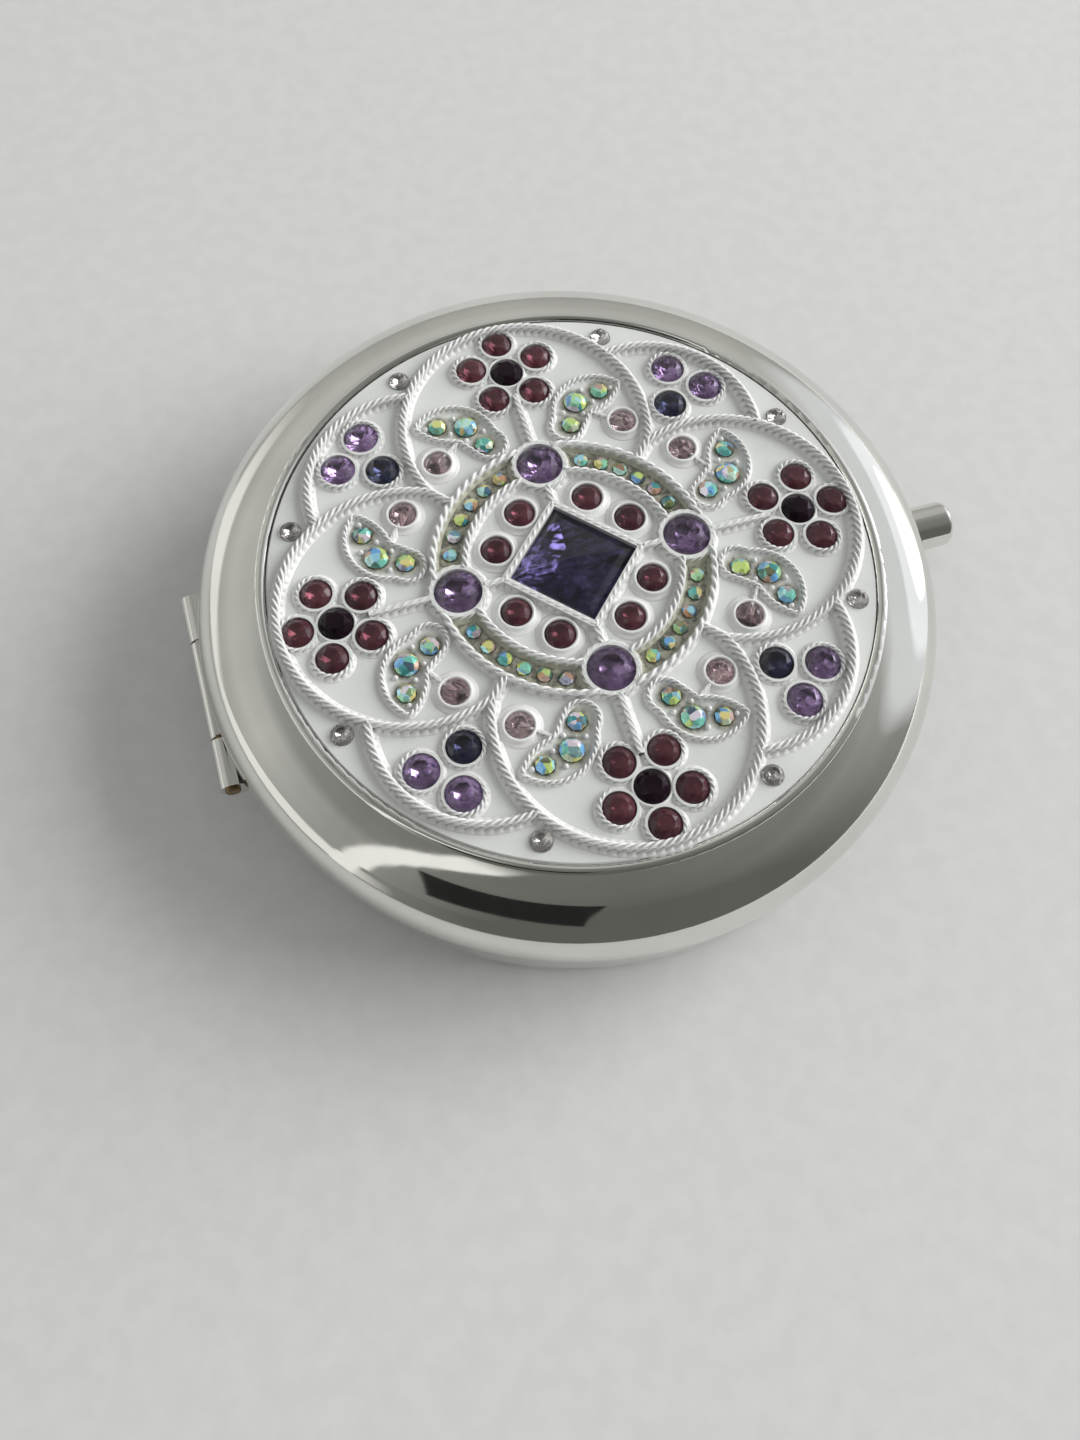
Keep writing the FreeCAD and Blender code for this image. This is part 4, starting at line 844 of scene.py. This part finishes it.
class COMPACT_OT_stage(Operator):
    """Table, light and camera"""

    bl_idname = "compact.stage"
    bl_label = "Table, light and camera"

    def execute(self, context):
        scene, stage = context.scene, context.scene.compact_stage
        self.table(tuple(stage.floor))
        self.room(scene, stage.ambient)
        self.lamp("window_lamp", LAMP_PLACE, LAMP_SIZE, stage.key_power)
        camera = bpy.data.cameras.new("camera")
        camera.sensor_width = SENSOR
        camera.lens = FOCAL_PIXELS / IMAGE_LONG * SENSOR
        camera.clip_start = NEAR_CLIP
        holder = bpy.data.objects.new("camera", camera)
        scene.collection.objects.link(holder)
        axes = [Vector(CAMERA_RIGHT), -Vector(CAMERA_DOWN), -Vector(CAMERA_FORWARD)]
        turn = Matrix(axes).transposed().to_quaternion()
        holder.matrix_world = Matrix.Translation(Vector(CAMERA_PLACE) * MM) @ turn.to_matrix().to_4x4()
        scene.camera = holder
        scene.view_settings.view_transform = "Standard"
        return {"FINISHED"}

    def table(self, colour):
        """Flat top: a grid of x and y at height 0. Far from the case it fades to the backdrop for the camera."""
        side = np.linspace(-TABLE_HALF, TABLE_HALF, TABLE_POINTS)
        x, y = np.meshgrid(side, side)
        verts = np.stack([x, y, np.zeros_like(x)], -1).reshape(-1, 3)
        index = np.arange(TABLE_POINTS ** 2).reshape(TABLE_POINTS, TABLE_POINTS)
        faces = np.stack([index[:-1, :-1], index[:-1, 1:], index[1:, 1:], index[1:, :-1]], -1).reshape(-1, 4)
        mesh = bpy.data.meshes.new("table_top")
        mesh.from_pydata(verts, [], faces.tolist())
        mat, tree, shader = finish("table_top", roughness=0.9)
        clouded(tree, shader, noise(tree, 400, 4), shade(colour, 0.975), shade(colour, 1.02))
        far = tree.nodes.new("ShaderNodeVectorMath")
        far.operation = "LENGTH"
        tree.links.new(place(tree), far.inputs[0])
        fade = spread(tree, far.outputs["Value"], *TABLE_FADE, 0, 1)
        path = tree.nodes.new("ShaderNodeLightPath").outputs
        plain = tree.nodes.new("ShaderNodeEmission")
        plain.inputs["Strength"].default_value = BACKDROP
        blend = tree.nodes.new("ShaderNodeMixShader")
        tree.links.new(math_node(tree, "MULTIPLY", fade, path["Is Camera Ray"]), blend.inputs[0])
        tree.links.new(shader.outputs[0], blend.inputs[1])
        tree.links.new(plain.outputs[0], blend.inputs[2])
        out = next(node for node in tree.nodes if node.type == "OUTPUT_MATERIAL")
        tree.links.new(blend.outputs[0], out.inputs["Surface"])
        mesh.materials.append(mat)
        top = bpy.data.objects.new("table_top", mesh)
        bpy.context.scene.collection.objects.link(top)

    def room(self, scene, ambient):
        """Pale backdrop for the camera, plain light for matt surfaces, and for metal and glass a soft room
        whose brightness follows the height of a direction, with a dim near side, a pale band and a strip
        light on the left, a window on the right and, in reflections only, a dark card."""
        world = bpy.data.worlds.new("room")
        world.use_nodes = True
        tree = world.node_tree
        tree.nodes.clear()
        where = tree.nodes.new("ShaderNodeTexCoord").outputs["Generated"]
        split = tree.nodes.new("ShaderNodeSeparateXYZ")
        tree.links.new(where, split.inputs[0])

        def along(direction):
            """Cosine between the direction of a ray and the given one."""
            dot = tree.nodes.new("ShaderNodeVectorMath")
            dot.operation = "DOT_PRODUCT"
            dot.inputs[1].default_value = Vector(direction).normalized()
            tree.links.new(where, dot.inputs[0])
            return dot.outputs["Value"]

        def toward(direction, low, high):
            """0 to 1 as a direction turns towards the given one, from the cosine low to high."""
            return spread(tree, along(direction), low, high, 0, 1)

        def beside(value, half, soft):
            """1 where a value is within half of 0, falling to 0 over soft."""
            return spread(tree, math_node(tree, "ABSOLUTE", value), half, half + soft, 1, 0)

        def light(strength):
            """White light of a given strength."""
            node = tree.nodes.new("ShaderNodeBackground")
            node.inputs["Strength"].default_value = strength
            node.inputs["Color"].default_value = (1, 1, 1, 1)
            return node

        def either(factor, a, b):
            """Shader a where factor is 0 and b where it is 1."""
            node = tree.nodes.new("ShaderNodeMixShader")
            tree.links.new(factor, node.inputs[0])
            tree.links.new(a, node.inputs[1])
            tree.links.new(b, node.inputs[2])
            return node.outputs[0]

        walls = ramp(tree, split.outputs[2], ROOM_HEIGHTS)
        walls = mixed(tree, toward(NEAR_SIDE, *NEAR_TURN), walls, ROOM_DIM)
        low = beside(math_node(tree, "SUBTRACT", split.outputs[2], BAND_HEIGHT), *BAND_EDGE)
        band = math_node(tree, "MULTIPLY", low, toward(BAND_SIDE, *BAND_TURN))
        walls = mixed(tree, band, walls, ROOM_BAND)
        across = (-STRIP_SIDE[1], STRIP_SIDE[0], 0.0)
        strip = math_node(tree, "MULTIPLY", beside(along(across), *STRIP_EDGE), toward(STRIP_SIDE, *STRIP_TURN))
        walls = mixed(tree, strip, walls, ROOM_STRIP)
        walls = mixed(tree, toward(GLOW_SIDE, *GLOW_TURN), walls, ROOM_GLOW)
        walls = mixed(tree, toward(WINDOW_SIDE, *WINDOW_TURN), walls, ROOM_WINDOW)
        walls = mixed(tree, toward(PANE_SIDE, *PANE_TURN), walls, shade(ROOM_WINDOW, PANE_GAIN))
        path = tree.nodes.new("ShaderNodeLightPath").outputs
        sideways = Vector((0, 0, 1)).cross(Vector(CARD_SIDE))
        upright = Vector(CARD_SIDE).cross(sideways)
        card = math_node(tree, "MULTIPLY", path["Is Glossy Ray"], toward(CARD_SIDE, *CARD_TURN))
        for direction, half in zip((sideways, upright), CARD_SIZE):
            card = math_node(tree, "MULTIPLY", card, beside(along(direction), half, CARD_SOFT))
        walls = mixed(tree, card, walls, ROOM_CARD)
        seen = light(1.0)
        tree.links.new(walls, seen.inputs["Color"])
        sharp = math_node(tree, "MAXIMUM", path["Is Glossy Ray"], path["Is Transmission Ray"])
        inner = either(sharp, light(ambient).outputs[0], seen.outputs[0])
        out = tree.nodes.new("ShaderNodeOutputWorld")
        tree.links.new(either(path["Is Camera Ray"], inner, light(BACKDROP).outputs[0]), out.inputs["Surface"])
        scene.world = world

    def lamp(self, name, at, size, power):
        """Large soft lamp that faces the case."""
        light = bpy.data.lights.new(name, "AREA")
        light.shape = "RECTANGLE"
        light.size, light.size_y = size
        light.energy = power
        holder = bpy.data.objects.new(name, light)
        holder.visible_camera = holder.visible_glossy = False
        bpy.context.scene.collection.objects.link(holder)
        place_at = Vector(at)
        aim = (Vector((0, 0, ENAMEL * MM)) - place_at).to_track_quat("-Z", "Y")
        holder.matrix_world = Matrix.Translation(place_at) @ aim.to_matrix().to_4x4()


class COMPACT_PT_panel(Panel):
    """Lists the steps that dress the compact"""

    bl_label = "Compact mirror"
    bl_idname = "COMPACT_PT_panel"
    bl_space_type = "VIEW_3D"
    bl_region_type = "UI"
    bl_category = "Compact"

    def draw(self, context):
        for step in STEPS:
            self.layout.operator(step.bl_idname)
        for group in (context.scene.compact_sizes, context.scene.compact_colours, context.scene.compact_stage):
            for key in group.bl_rna.properties.keys():
                if key not in ("rna_type", "name"):
                    self.layout.prop(group, key)


STEPS = (COMPACT_OT_case, COMPACT_OT_inside, COMPACT_OT_spring, COMPACT_OT_ropes, COMPACT_OT_collars,
         COMPACT_OT_stones, COMPACT_OT_stage)
GROUPS = {"compact_sizes": CompactSizes, "compact_colours": CompactColours, "compact_stage": StageSettings}


def register():
    for cls in (*GROUPS.values(), *STEPS, COMPACT_PT_panel):
        bpy.utils.register_class(cls)
    for name, group in GROUPS.items():
        setattr(bpy.types.Scene, name, PointerProperty(type=group))


def unregister():
    for name in GROUPS:
        delattr(bpy.types.Scene, name)
    for cls in (COMPACT_PT_panel, *STEPS[::-1], *GROUPS.values()):
        bpy.utils.unregister_class(cls)


def main():
    """Dresses the solids step by step."""
    register()
    bpy.ops.compact.case()
    bpy.ops.compact.inside()
    bpy.ops.compact.spring()
    bpy.ops.compact.ropes()
    bpy.ops.compact.collars()
    bpy.ops.compact.stones()
    bpy.ops.compact.stage()


if __name__ == "__main__":
    main()
